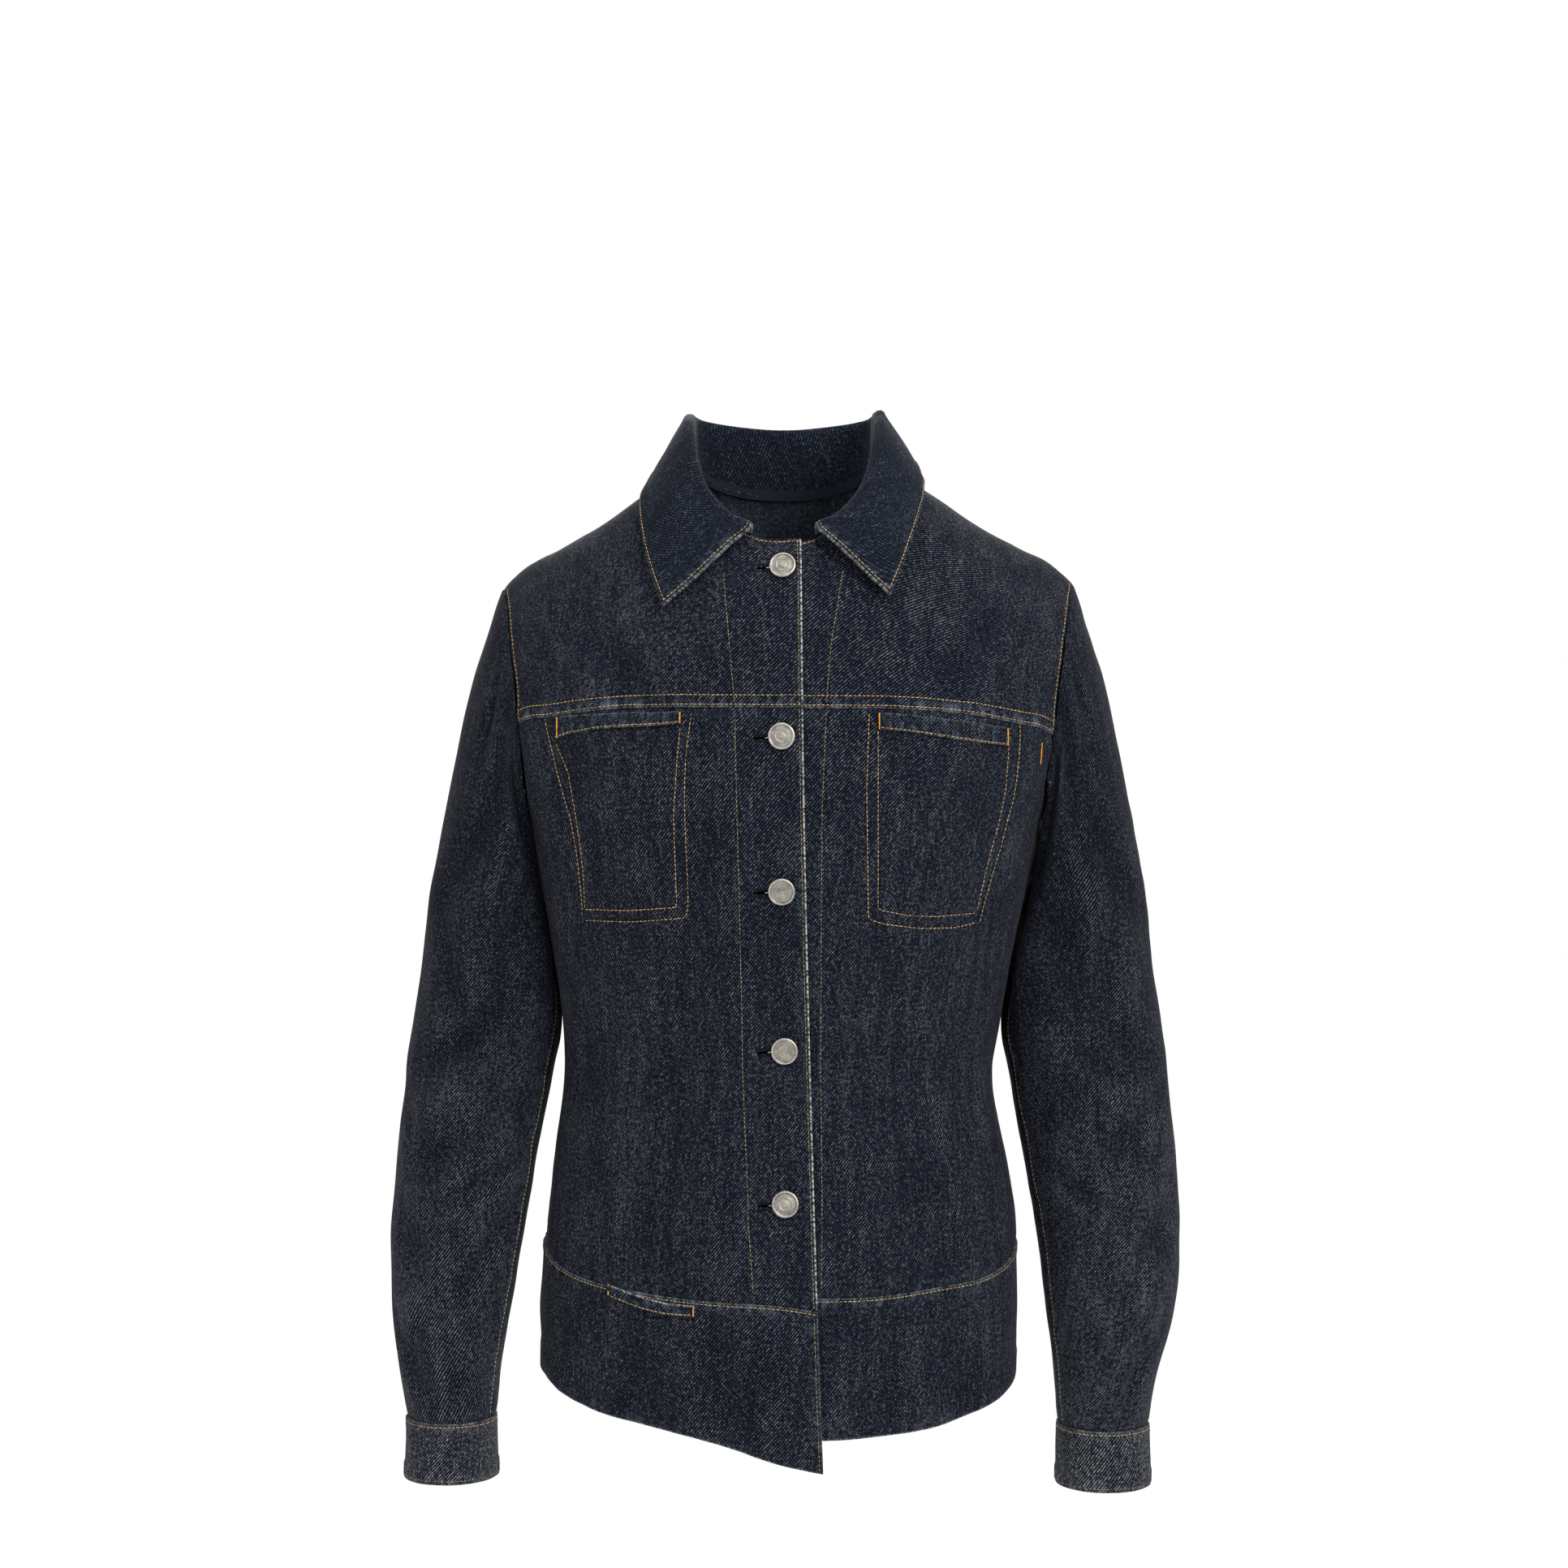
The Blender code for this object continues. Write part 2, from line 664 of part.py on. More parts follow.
def body_piece(name, domain, laps, thickness, amounts):
    grid, normal = body_grid(domain, laps)
    outer = inset(grid, amounts)
    wall(name, outer, outer - normal * thickness, "denim")


def front_domains(side):
    """Angle and level grids of the four front pieces of a side."""
    below, above, _ = armhole_shares(side)
    laps = side == RIGHT
    princess = princess_line(side, PANEL_ROWS)
    meet = armhole(np.array([above[0]]), side)[0]

    edge_top = float(yoke_height(side, 0.0))
    panel_edge = edge_line(side, float(band_height(side, -side * BAND_START)), edge_top, PANEL_ROWS)
    yoke_front = seam_between(panel_edge[-1, 0], princess[-1, 0], PANEL_CELLS, yoke_height, side)
    yoke_side = seam_between(princess[-1, 0], meet[0], SIDE_TOP_CELLS, yoke_height, side)
    yoke_front[-1] = princess[-1]
    yoke_side[0] = princess[-1]
    yoke_side[-1] = meet

    neck = neck_line(side)
    shoulder = shoulder_line(side)
    yoke_top = np.concatenate([neck[:-1], shoulder])
    yoke_bottom = np.concatenate([yoke_front[:-1], yoke_side])
    neck_height = body(neck[0, 0], neck[0, 1])[2]
    yoke_edge = edge_line(side, edge_top, neck_height, YOKE_ROWS)
    yoke_edge[0] = yoke_front[0]
    yoke_edge[-1] = neck[0]
    yoke = patch(yoke_bottom, yoke_top, yoke_edge, armhole(above, side))

    band_front = seam_between(panel_edge[0, 0], princess[0, 0], PANEL_CELLS, band_height, side)
    band_front[-1] = princess[0]
    side_cells = SIDE_TOP_CELLS + SIDE_ARM_CELLS
    band_side = seam_between(princess[0, 0], side * math.pi / 2, side_cells, band_height, side)
    band_side[0] = princess[0]
    panel_edge[0] = band_front[0]
    panel_edge[-1] = yoke_front[0]
    panel = patch(band_front, yoke_front, panel_edge, princess)

    arm = armhole(below[::-1], side)
    side_top = np.concatenate([yoke_side[:-1], arm])
    side_seam = pair(side * math.pi / 2, np.linspace(band_side[-1, 1], 0, PANEL_ROWS + 1))
    side_panel = patch(band_side, side_top, princess, side_seam)

    band_top = np.concatenate([band_front[:-1], band_side])
    hem = pair(band_top[:, 0], level_at(band_top[:, 0], hem_height(side, band_top[:, 0])))
    hem_edge = edge_line(side, body(*hem[0])[2], body(*band_top[0])[2], BAND_ROWS)
    hem[0] = hem_edge[0]
    band_side_seam = pair(side * math.pi / 2, np.linspace(hem[-1, 1], band_top[-1, 1], BAND_ROWS + 1))
    hem_edge[-1] = band_top[0]
    band = patch(hem, band_top, hem_edge, band_side_seam)
    return {"front_yoke": yoke, "front_panel": panel, "side_front": side_panel, "band_front": band}


def back_domains():
    """Angle and level grids of the back panel and the back band, from the right side to the left.

    Each side of the panel runs up the side seam and on round the armhole to the shoulder tip.
    """
    shoulders = {}
    for side in (RIGHT, LEFT):
        line = shoulder_line(side)[::-1]
        line[:, 0] = math.pi * (1 - side) + side * math.pi - line[:, 0]
        shoulders[side] = line
    neck = even_neck(-NECK_HALF, NECK_HALF, NECK_BACK_CELLS, back=True)
    top = np.concatenate([shoulders[RIGHT], neck[1:-1], shoulders[LEFT][::-1]])
    angles = np.linspace(1.5 * math.pi, 0.5 * math.pi, len(top))
    signed = np.where(angles > math.pi, angles - 2 * math.pi, angles)

    def seam(height_of):
        heights = np.where(signed < 0, height_of(RIGHT, signed), height_of(LEFT, signed))
        return pair(angles, heights - ARMPIT_Z)

    band_top = seam(band_height)
    hem = seam(hem_height)
    edges = {}
    for side, end in ((RIGHT, 0), (LEFT, -1)):
        seam_levels = np.linspace(band_top[end, 1], 0, BACK_SEAM_CELLS + 1)
        arm = armhole(armhole_shares(side)[2], side, back=True)
        arm[:, 0] = arm[:, 0] % (2 * math.pi)
        edges[side] = np.concatenate([pair(angles[end], seam_levels[:-1]), arm])
    rise = edges[RIGHT][:, 1] - edges[RIGHT][0, 1]
    panel = patch(band_top, top, edges[RIGHT], edges[LEFT], rise / rise[-1])
    ends = [pair(angles[k], np.linspace(hem[k, 1], band_top[k, 1], BAND_ROWS + 1)) for k in (0, -1)]
    return {"back_panel": panel, "band_back": patch(hem, band_top, *ends)}


# --- sleeves -------------------------------------------------------------------------------------------------

def armhole_loop(side):
    """Armhole samples in order from the back sleeve seam over the tip and the front to the back seam again,
    with the ring angle of each."""
    below, above, back = armhole_shares(side)
    front_low = armhole(below, side)
    front_high = armhole(above, side)
    rear = armhole(back, side, back=True)
    points = np.concatenate([
        rear[BACK_SEAM_SAMPLE:], front_high[::-1][1:], front_low[::-1][1:], rear[1:BACK_SEAM_SAMPLE + 1],
    ])
    tip = BACK_ARM_CELLS - BACK_SEAM_SAMPLE
    yoke = tip + YOKE_ARM_CELLS
    front_seam = yoke + SIDE_ARM_CELLS - FRONT_SEAM_SAMPLE
    armpit = yoke + SIDE_ARM_CELLS
    last = len(points) - 1
    marks = [0, tip, yoke, front_seam, armpit, last]
    names = ["back seam", "tip", "yoke", "front seam", "armpit"]
    angles = [RING_ANGLES[n] for n in names] + [RING_ANGLES["back seam"] + 360]
    return points, np.radians(np.interp(np.arange(last + 1), marks, angles)), front_seam


def sleeve_ring(side, ring_angle, height):
    """Ellipse of the sleeve at a height; ring angle 0 is the outer side and 90 degrees the front."""
    table = SLEEVE_RINGS[side]
    outer, inner, half_depth, centre_y = (through(height, table[:, 0], table[:, k]) for k in range(1, 5))
    half = (outer - inner) / 2
    sink = troughs(np.degrees(ring_angle) * MM * FOLD_SCALE, height, SLEEVE_FOLDS * FOLD_UNITS)
    sink = sink * soft_step(height, *SLEEVE_FOLD_FADE)
    x = side * ((outer + inner) / 2 + (half - sink) * np.cos(ring_angle))
    y = centre_y - (half_depth - sink) * np.sin(ring_angle)
    return np.stack(np.broadcast_arrays(x, y, height), -1)


def sleeve_grid(side, tree):
    """Points of the whole sleeve: columns round it from the back seam, rows from the armhole to the cuff."""
    domain, ring_angle, front_seam = armhole_loop(side)
    start = body(domain[:, 0], domain[:, 1])
    low = (1 - np.cos(ring_angle)) / 2
    leave_x = side * (LEAVE_OUT[0] + LEAVE_OUT[1] * low)
    leave = np.stack([leave_x, LEAVE_FRONT * np.sin(ring_angle), LEAVE_UP[0] + LEAVE_UP[1] * low], -1)
    leave = leave / np.linalg.norm(leave, axis=-1, keepdims=True)
    start_normal = body_normal(domain[:, 0], domain[:, 1])
    hole = start.mean(axis=0) + np.array([side * ARMHOLE_REACH, 0, 0])
    away = hole - start
    away = away - np.sum(away * start_normal, -1, keepdims=True) * start_normal
    start = start + away / np.linalg.norm(away, axis=-1, keepdims=True) * ARMHOLE_GAP
    end = sleeve_ring(side, ring_angle, np.full(len(ring_angle), BICEPS_Z))
    pull = (LEAVE_PULL[0] + LEAVE_PULL[1] * low)[:, None]
    push = (ARRIVE_PULL[0] + ARRIVE_PULL[1] * low)[:, None]
    arrive = np.array(ARRIVE) * (side, 1, 1)
    t = np.linspace(0, 1, HEAD_CELLS + 1)[:, None, None]
    head = (1 + 2 * t) * (1 - t) ** 2 * start + t * (1 - t) ** 2 * leave * pull
    head = head + t * t * (3 - 2 * t) * end + t * t * (t - 1) * arrive * push
    heights = np.linspace(BICEPS_Z, SLEEVE_RINGS[side][0, 0], ARM_CELLS + 1)[1:]
    arm = sleeve_ring(side, ring_angle[None, :], heights[:, None])
    grid = np.concatenate([head, arm])
    from_outside = np.degrees(np.arccos(np.cos(ring_angle)))
    beside = soft_step(from_outside, *CLEARANCE_SPREAD)[:, None]
    for row in range(1, len(grid)):
        clearance = SLEEVE_CLEARANCE * min(1, row / CLEARANCE_ROWS)
        clear = np.array([keep_clear(p, tree, clearance) for p in grid[row]])
        grid[row] += (clear - grid[row]) * beside
    return grid, front_seam, start_normal


def sleeve_outward(grid):
    """Away from the middle of each row of the sleeve."""
    return grid - grid.mean(axis=1, keepdims=True)


def build_sleeve(name, side, tree):
    grid, front_seam, start_normal = sleeve_grid(side, tree)
    normal = normals_of(grid, sleeve_outward(grid))
    square = normal[0] + start_normal
    normal[0] = square / np.linalg.norm(square, axis=-1, keepdims=True)
    wrap = (normal[:, 0] + normal[:, -1]) / 2
    normal[:, 0] = normal[:, -1] = wrap / np.linalg.norm(wrap, axis=-1, keepdims=True)
    pieces = {"top_sleeve": slice(0, front_seam + 1), "under_sleeve": slice(front_seam, grid.shape[1])}
    for piece, columns in pieces.items():
        outer = inset(grid[:, columns], (0, 0, SLEEVE_SEAM_INSET, SLEEVE_SEAM_INSET))
        wall(f"{piece}_{name}", outer, outer - normal[:, columns] * SINGLE_WALL, "denim")


def cuff_point(side, ring_angle, drop, proud):
    """Place on a cuff: the last sleeve ring, standing proud and flaring with the drop."""
    table = SLEEVE_RINGS[side][0]
    half = (table[1] - table[2]) / 2 + proud + CUFF_FLARE * drop / CUFF_HEIGHT
    half_depth = table[3] + proud + CUFF_FLARE * drop / CUFF_HEIGHT
    x = side * ((table[1] + table[2]) / 2 + half * np.cos(ring_angle))
    y = table[4] - half_depth * np.sin(ring_angle)
    return np.stack(np.broadcast_arrays(x, y, table[0] - CUFF_GAP - drop), -1)


def build_cuff(name, side):
    """A strip of more than one turn, whose first end lies under its last."""
    turn = np.radians(np.linspace(CUFF_END, CUFF_END + 360 + CUFF_LAP, CUFF_CELLS + 1))
    ramp = [CUFF_END + share * CUFF_LAP for share in CUFF_RAMP]
    under = 1 - soft_step(np.degrees(turn), *ramp)
    proud = CUFF_PROUD - (DOUBLE_WALL + LIE_GAP) * under
    drop = np.linspace(0, CUFF_HEIGHT, CUFF_ROWS)
    outer = cuff_point(side, turn[None, :], drop[:, None], proud[None, :])
    inner = cuff_point(side, turn[None, :], drop[:, None], proud[None, :] - DOUBLE_WALL)
    wall(f"cuff_{name}", outer, inner, "denim")


# --- collar --------------------------------------------------------------------------------------------------

def body_tree():
    """Search tree of the body's outer surface, with the lap of the right front."""
    angles = np.linspace(-math.pi, math.pi, TREE_CELLS)
    levels = np.linspace(HEM[0, 1] - ARMPIT_Z, SHOULDER_RISE, TREE_CELLS)
    grid = body(angles[None, :], levels[:, None])
    normal = body_normal(angles[None, :], levels[:, None])
    front = np.cos(angles)[None, :] > 0
    grid = grid + normal * np.where(front, lap_lift(grid[..., 0]), 0)[..., None]
    rows, columns = grid.shape[:2]
    index = np.arange(rows * columns).reshape(rows, columns)
    quads = np.stack([index[:-1, :-1], index[:-1, 1:], index[1:, 1:], index[1:, :-1]], -1).reshape(-1, 4)
    return BVHTree.FromPolygons([Vector(p) for p in grid.reshape(-1, 3)], quads.tolist())


def keep_clear(point, tree, clearance):
    """Moves a point out of the surface until it is clear of it."""
    place, normal, _, _ = tree.find_nearest(Vector(point))
    away = Vector(point) - place
    outward = Vector((place.x, place.y, max(place.z - ARMPIT_Z, 0) * OUTWARD_RISE))
    if normal.dot(outward) < 0:
        normal = -normal
    gap = away.dot(normal)
    if gap >= clearance:
        return point
    return np.array(place + normal * clearance)


def collar_base():
    """Neckline samples under the collar with their share of the half collar, from right to left."""
    sides = []
    for side in (RIGHT, LEFT):
        front = even_neck(side * COLLAR_START, side * NECK_HALF, 2 * NECK_SIDE_CELLS)
        back = even_neck(side * NECK_HALF, 0, NECK_BACK_CELLS, back=True)
        domain = np.concatenate([front, back[1:]])
        sides.append(body(domain[:, 0], domain[:, 1]))
    length = np.concatenate([[0], np.cumsum(np.linalg.norm(np.diff(sides[0], axis=0), axis=1))])
    share = length / length[-1]
    points = np.concatenate([sides[0], sides[1][::-1][1:]])
    shares = np.concatenate([share, share[::-1][1:]])
    signs = np.concatenate([np.full(len(share), RIGHT), np.full(len(share) - 1, LEFT)])
    return points, shares, signs


def collar_columns(tree):
    """Middle line of the folded collar at each neckline sample: up the stand, round the fold, down the leaf."""
    base, shares, signs = collar_base()
    halves = [
        [through(shares, COLLAR[side][:, 0], COLLAR[side][:, k]) for k in range(1, 6)] for side in (RIGHT, LEFT)
    ]
    stand, lean, across, depth, height = np.where(signs == RIGHT, *np.array(halves))
    centre_y = base[:, 1].min() * (1 - COLLAR_CENTRE) + base[:, 1].max() * COLLAR_CENTRE
    columns = []
    for k, start in enumerate(base):
        out = np.array([start[0], start[1] - centre_y, 0.0])
        out = out / np.linalg.norm(out)
        foot = keep_clear(start, tree, COLLAR_LIFT)
        tops = foot + np.array([0, 0, stand[k]]) + out * lean[k]
        middle = tops + out * FOLD_RADIUS
        edge = np.array([signs[k] * across[k], depth[k], height[k]])
        edge = keep_clear(edge, tree, LEAF_LIFT)
        line = [foot + (tops - foot) * s for s in np.linspace(0, 1, STAND_CELLS + 1)]
        for s in range(1, FOLD_CELLS + 1):
            turn = math.pi * s / FOLD_CELLS
            rise = np.array([0, 0, FOLD_RADIUS * math.sin(turn)])
            line.append(middle - out * FOLD_RADIUS * math.cos(turn) + rise)
        far = line[-1]
        for s in np.linspace(0, 1, LEAF_CELLS + 1)[1:]:
            sag = LEAF_BULGE * math.sin(math.pi * s)
            line.append(far + (edge - far) * s + out * sag)
        columns.append(line)
    return np.array(columns).transpose(1, 0, 2)


def build_collar(tree):
    middle = collar_columns(tree)
    leaf_start = STAND_CELLS + FOLD_CELLS
    rows = middle.shape[0]
    for row in range(leaf_start + 1, rows):
        # near the fold the leaf also clears the foot of the stand
        share = (row - leaf_start) / (rows - 1 - leaf_start)
        clearance = LEAF_LIFT + 2 * FOLD_RADIUS * (1 - share) ** 2
        middle[row] = [keep_clear(p, tree, clearance) for p in middle[row]]
    hint = np.zeros_like(middle)
    out = middle[leaf_start] - middle[0]
    hint[leaf_start:] = out / np.linalg.norm(out, axis=-1, keepdims=True)
    normal = normals_of(middle, hint)
    wall("collar", middle + normal * DOUBLE_WALL / 2, middle - normal * DOUBLE_WALL / 2, "collar_denim")


# --- pockets and buttons -------------------------------------------------------------------------------------

def build_welt(name, side, span, top_drop, height, seam_height):
    """Strip that lies on its panel just below a seam."""
    x = side * np.linspace(span[0], span[1], WELT_COLUMNS)
    angles = angle_at(x, np.full(WELT_COLUMNS, 0.0))
    for _ in range(SETTLE_STEPS):
        heights = seam_height(side, angles)
        angles = angle_at(x, level_at(angles, heights))
    tops = pair(angles, level_at(angles, heights - top_drop))
    lows = pair(angles, level_at(angles, heights - top_drop - height))
    share = np.linspace(0, 1, WELT_ROWS)[:, None, None]
    domain = lows[None] * (1 - share) + tops[None] * share
    grid, normal = body_grid(domain, side == RIGHT)
    foot = grid + normal * LIE_GAP
    wall(name, foot + normal * WELT_WALL, foot, "denim")


def button_mesh(name, place, axis):
    """Turned cap on its neck, its foot at the place."""
    turn = np.linspace(0, 2 * math.pi, BUTTON_SIDES, endpoint=False)
    rings = BUTTON_PROFILE[1:-1]
    points = [(r * math.cos(a), r * math.sin(a), h) for r, h in rings for a in turn]
    count = len(points)
    points += [(0, 0, BUTTON_PROFILE[0, 1]), (0, 0, BUTTON_PROFILE[-1, 1])]
    faces = []
    for k in range(BUTTON_SIDES):
        after = (k + 1) % BUTTON_SIDES
        for ring in range(len(rings) - 1):
            low = ring * BUTTON_SIDES
            high = low + BUTTON_SIDES
            faces.append((low + k, low + after, high + after, high + k))
        last = (len(rings) - 1) * BUTTON_SIDES
        faces.append((count, after, k))
        faces.append((count + 1, last + k, last + after))
    button = make_object(name, points, faces, "metal")
    turned = Vector((0, 0, 1)).rotation_difference(Vector(axis))
    button.matrix_world = Matrix.Translation(Vector(place)) @ turned.to_matrix().to_4x4()
    return button


def front_place(x, height):
    """Outer surface of the right front and its normal, at a place across and a height."""
    level = level_at(np.array([0.0]), np.array([height]))
    angle = angle_at(np.array([x]), level)
    normal = body_normal(angle, level)[0]
    return body(angle, level)[0] + normal * float(lap_lift(x)), normal


def build_buttons():
    for number, (x, height) in enumerate(FRONT_BUTTONS, start=1):
        place, normal = front_place(x, height)
        button_mesh(f"front_button_{number}", place + normal * BUTTON_GAP, normal)
    for name, side in SIDES.items():
        angle = math.radians(CUFF_BUTTON_ANGLE + 360)
        proud = CUFF_PROUD + BUTTON_GAP
        place = cuff_point(side, angle, CUFF_BUTTON_DROP, proud)
        axis = place - cuff_point(side, angle, CUFF_BUTTON_DROP, proud - 2 * MM)
        button_mesh(f"cuff_button_{name}", place, axis / np.linalg.norm(axis))


# --- the jacket ----------------------------------------------------------------------------------------------

def build_body():
    seams = (SEAM_INSET,) * 4
    for name, side in SIDES.items():
        for piece, domain in front_domains(side).items():
            thickness = DOUBLE_WALL if piece == "band_front" else SINGLE_WALL
            body_piece(f"{piece}_{name}", domain, side == RIGHT, thickness, seams)
    for piece, domain in back_domains().items():
        thickness = DOUBLE_WALL if piece == "band_back" else SINGLE_WALL
        body_piece(piece, domain, False, thickness, seams)


def build_jacket():
    for old in list(bpy.data.objects):
        bpy.data.objects.remove(old, do_unlink=True)
    tree = body_tree()
    build_body()
    for name, side in SIDES.items():
        build_sleeve(name, side, tree)
        build_cuff(name, side)
        build_welt(
            f"chest_welt_{name}", side, CHEST_WELTS[side], CHEST_WELT_TOP, CHEST_WELT_HEIGHT, yoke_height,
        )
    build_welt("band_welt_right", RIGHT, BAND_WELT, BAND_WELT_TOP, BAND_WELT_HEIGHT, band_height)
    build_collar(tree)
    build_buttons()


build_jacket()
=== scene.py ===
# %% [markdown]
# # Denim jacket
# The jacket is cut from indigo denim and is shown as if worn, with its openings open and no one in it. The
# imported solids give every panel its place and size. This lesson dresses them: each panel becomes a thin
# cloth shell on the same surface, with its folds, seams, stitches and fading, because cloth that is worked
# out as a surface keeps its real cut and takes its weave at the real scale.

# %% Load the frame
import math

import bpy
import numpy as np
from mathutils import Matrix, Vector


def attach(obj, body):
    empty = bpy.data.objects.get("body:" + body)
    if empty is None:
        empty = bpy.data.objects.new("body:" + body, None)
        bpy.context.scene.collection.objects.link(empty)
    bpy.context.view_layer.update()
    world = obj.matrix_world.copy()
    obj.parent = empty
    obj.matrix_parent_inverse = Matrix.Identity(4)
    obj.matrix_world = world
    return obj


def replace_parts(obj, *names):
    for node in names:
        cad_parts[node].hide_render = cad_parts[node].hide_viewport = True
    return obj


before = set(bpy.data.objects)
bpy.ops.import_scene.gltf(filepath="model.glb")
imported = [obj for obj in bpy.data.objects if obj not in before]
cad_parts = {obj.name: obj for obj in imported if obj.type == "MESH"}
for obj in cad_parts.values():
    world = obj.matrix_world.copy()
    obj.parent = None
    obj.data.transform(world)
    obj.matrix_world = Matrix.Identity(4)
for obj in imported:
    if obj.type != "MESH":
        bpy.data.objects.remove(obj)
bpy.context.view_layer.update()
MM = 0.001
RIGHT, LEFT = -1, 1
SIDES = {"right": RIGHT, "left": LEFT}
random = np.random.default_rng(7)

# %% [markdown]
# ## Camera, floor and light
# A garment on a stand is lit from large soft boxes, one on each side and one above, so that its folds read
# as gentle shading and nothing burns out. The camera stands 2.3 m away, level with the waist, which keeps
# the proportions of the panels true.

# %% Studio
CAMERA_DISTANCE = 2.3
CAMERA_HEIGHT = -0.211
PICTURE_WIDTH = 1932        # pixels
PIXEL = 0.54 * MM           # at the plane through the shoulders
SENSOR = 36.0
CHEST = (0, 0, -0.3)
LIGHTS = {
    # place, size, watts
    "key": ((1.4, -1.9, 1.2), 1.2, 116),
    "fill": ((-2.0, -1.6, 0.4), 1.8, 34),
    "top": ((0, -0.2, 2.2), 1.6, 46),
    "back": ((0, 2.2, 1.2), 1.6, 80),
}

camera_data = bpy.data.cameras.new("camera")
camera_data.sensor_width = SENSOR
camera_data.lens = SENSOR * CAMERA_DISTANCE / (PIXEL * PICTURE_WIDTH)
camera = bpy.data.objects.new("camera", camera_data)
camera.location = (0, -CAMERA_DISTANCE, CAMERA_HEIGHT)
camera.rotation_euler = (math.pi / 2, 0, 0)
bpy.context.collection.objects.link(camera)
bpy.context.scene.camera = camera


def soft_box(name, place, aim, size, watts):
    """Square area light that faces a point."""
    light = bpy.data.lights.new(name, "AREA")
    light.size = size
    light.energy = watts
    lamp = bpy.data.objects.new(name, light)
    place, aim = np.array(place), np.array(aim)
    lamp.location = place
    lamp.rotation_euler = Vector(aim - place).to_track_quat("-Z", "Y").to_euler()
    bpy.context.collection.objects.link(lamp)


for name, (place, size, watts) in LIGHTS.items():
    soft_box(name, place, CHEST, size, watts)
world = bpy.data.worlds.new("studio")
bpy.context.scene.world = world
world.use_nodes = True
background = world.node_tree.nodes["Background"]
background.inputs["Color"].default_value = (1, 1, 1, 1)
background.inputs["Strength"].default_value = 1.0
bpy.context.scene.view_settings.view_transform = "Standard"
print("lens in mm:", round(camera_data.lens, 2))

# %% [markdown]
# ## The cutting tables
# A pattern maker works from a few measurements: the girth at each height, the slope of the shoulders, the
# line of each seam. They are listed here as short tables in millimetres, and a smooth curve is drawn
# through each. The same numbers shaped the solids, so the cloth lies exactly on them.

# %% Measurements of the jacket
# Body: the ring at each height, as half-widths to each side and depths to the front and the back
BODY_RINGS = np.array([
    # height, right, left, front, back
    (-680, 157, 151, 114, 112),
    (-640, 159, 152, 114, 112),
    (-590, 161, 153, 113, 111),
    (-545, 161, 154, 111, 108),
    (-500, 157, 153, 106, 103),
    (-450, 151, 146, 99, 95),
    (-405, 145, 138, 95, 90),
    (-365, 147, 144, 97, 91),
    (-300, 157, 156, 107, 98),
    (-235, 170, 170, 113, 106),
]) * MM
ARMPIT_Z = BODY_RINGS[-1, 0]
RING_ROUNDNESS = 0.75
# Above the armpit the surface closes over the shoulders, to a ridge from neck to shoulder tip
SHOULDER_RISE = 360 * MM
RISE_ROUNDNESS = 0.8
SHOULDER_REACH = {RIGHT: 197 * MM, LEFT: 203 * MM}
RIDGE = np.array([
    # share of the reach, height, depth
    (0.00, 10, 12),
    (0.20, 7, 11),
    (0.32, 0, 10),
    (0.46, -16, 8),
    (0.64, -41, 6),
    (0.76, -54.5, 5),
    (0.88, -67, 4),
    (0.95, -80, 4),
    (1.00, -92, 4),
]) * (1, MM, MM)
SHOULDER_TILT = 1.5 * MM
TIP_ANGLE = 72
SETTLE_STEPS = 6
ARMHOLE = np.array([
    # share from armpit to tip, front angle, back angle
    (0.000, 90.0, 90.0),
    (0.045, 78.0, 101.0),
    (0.130, 71.5, 106.0),
    (0.260, 67.5, 109.0),
    (0.500, 66.5, 110.5),
    (0.750, 68.5, 110.0),
    (1.000, TIP_ANGLE, 180 - TIP_ANGLE),
])

# Seams of the body
NECK_HALF = 58 * MM
FRONT_NECK_DROP = 55 * MM
BACK_NECK_DROP = 14 * MM
NECK_ROUNDNESS = 2.3
NECK_TRIALS = 400
COLLAR_START = 20 * MM
FRONT_EDGE = np.array([
    # height, over edge past the centre front
    (-660, 25.0),
    (-540, 21.0),
    (-420, 17.5),
    (-200, 12.5),
    (-40, 11.0),
]) * MM
UNDER_EDGE = -18 * MM
YOKE_SEAM = np.array([
    # share of the half-width, height right, height left
    (-0.20, -163, -163),
    (0.00, -163, -163),
    (0.35, -163, -164),
    (0.60, -165, -168),
    (0.80, -169, -174),
    (1.00, -174, -182),
]) * (1, MM, MM)
PRINCESS_SEAM = np.array([
    # height, right, left
    (-540, 147, 140),
    (-510, 150, 142),
    (-475, 149, 141),
    (-445, 143, 134),
    (-415, 136, 129),
    (-370, 129, 125),
    (-300, 129, 125),
    (-245, 135, 141),
    (-205, 146, 150),
    (-160, 156, 152),
]) * MM
BAND_SEAM = np.array([
    # angle from the centre front, height right, height left
    (-12, -547, -537),
    (0, -542, -537),
    (20, -539, -537),
    (40, -534, -533),
    (60, -527, -528),
    (90, -510, -512),
    (130, -506, -506),
    (180, -506, -506),
]) * (1, MM, MM)
HEM = np.array([
    # angle from the centre front, height right, height left
    (-12, -650, -627),
    (0, -642, -627),
    (20, -626, -626),
    (40, -617, -621),
    (60, -607, -612),
    (90, -592, -598),
    (130, -590, -594),
    (180, -592, -592),
]) * (1, MM, MM)
LAP_LIFT = 2.8 * MM
LAP_RAMP = (-62 * MM, -26 * MM)
BAND_START = 0.12
ARM_CROWDING = {"front": 1.6, "back": 1.5}
YOKE_TRIALS = 200

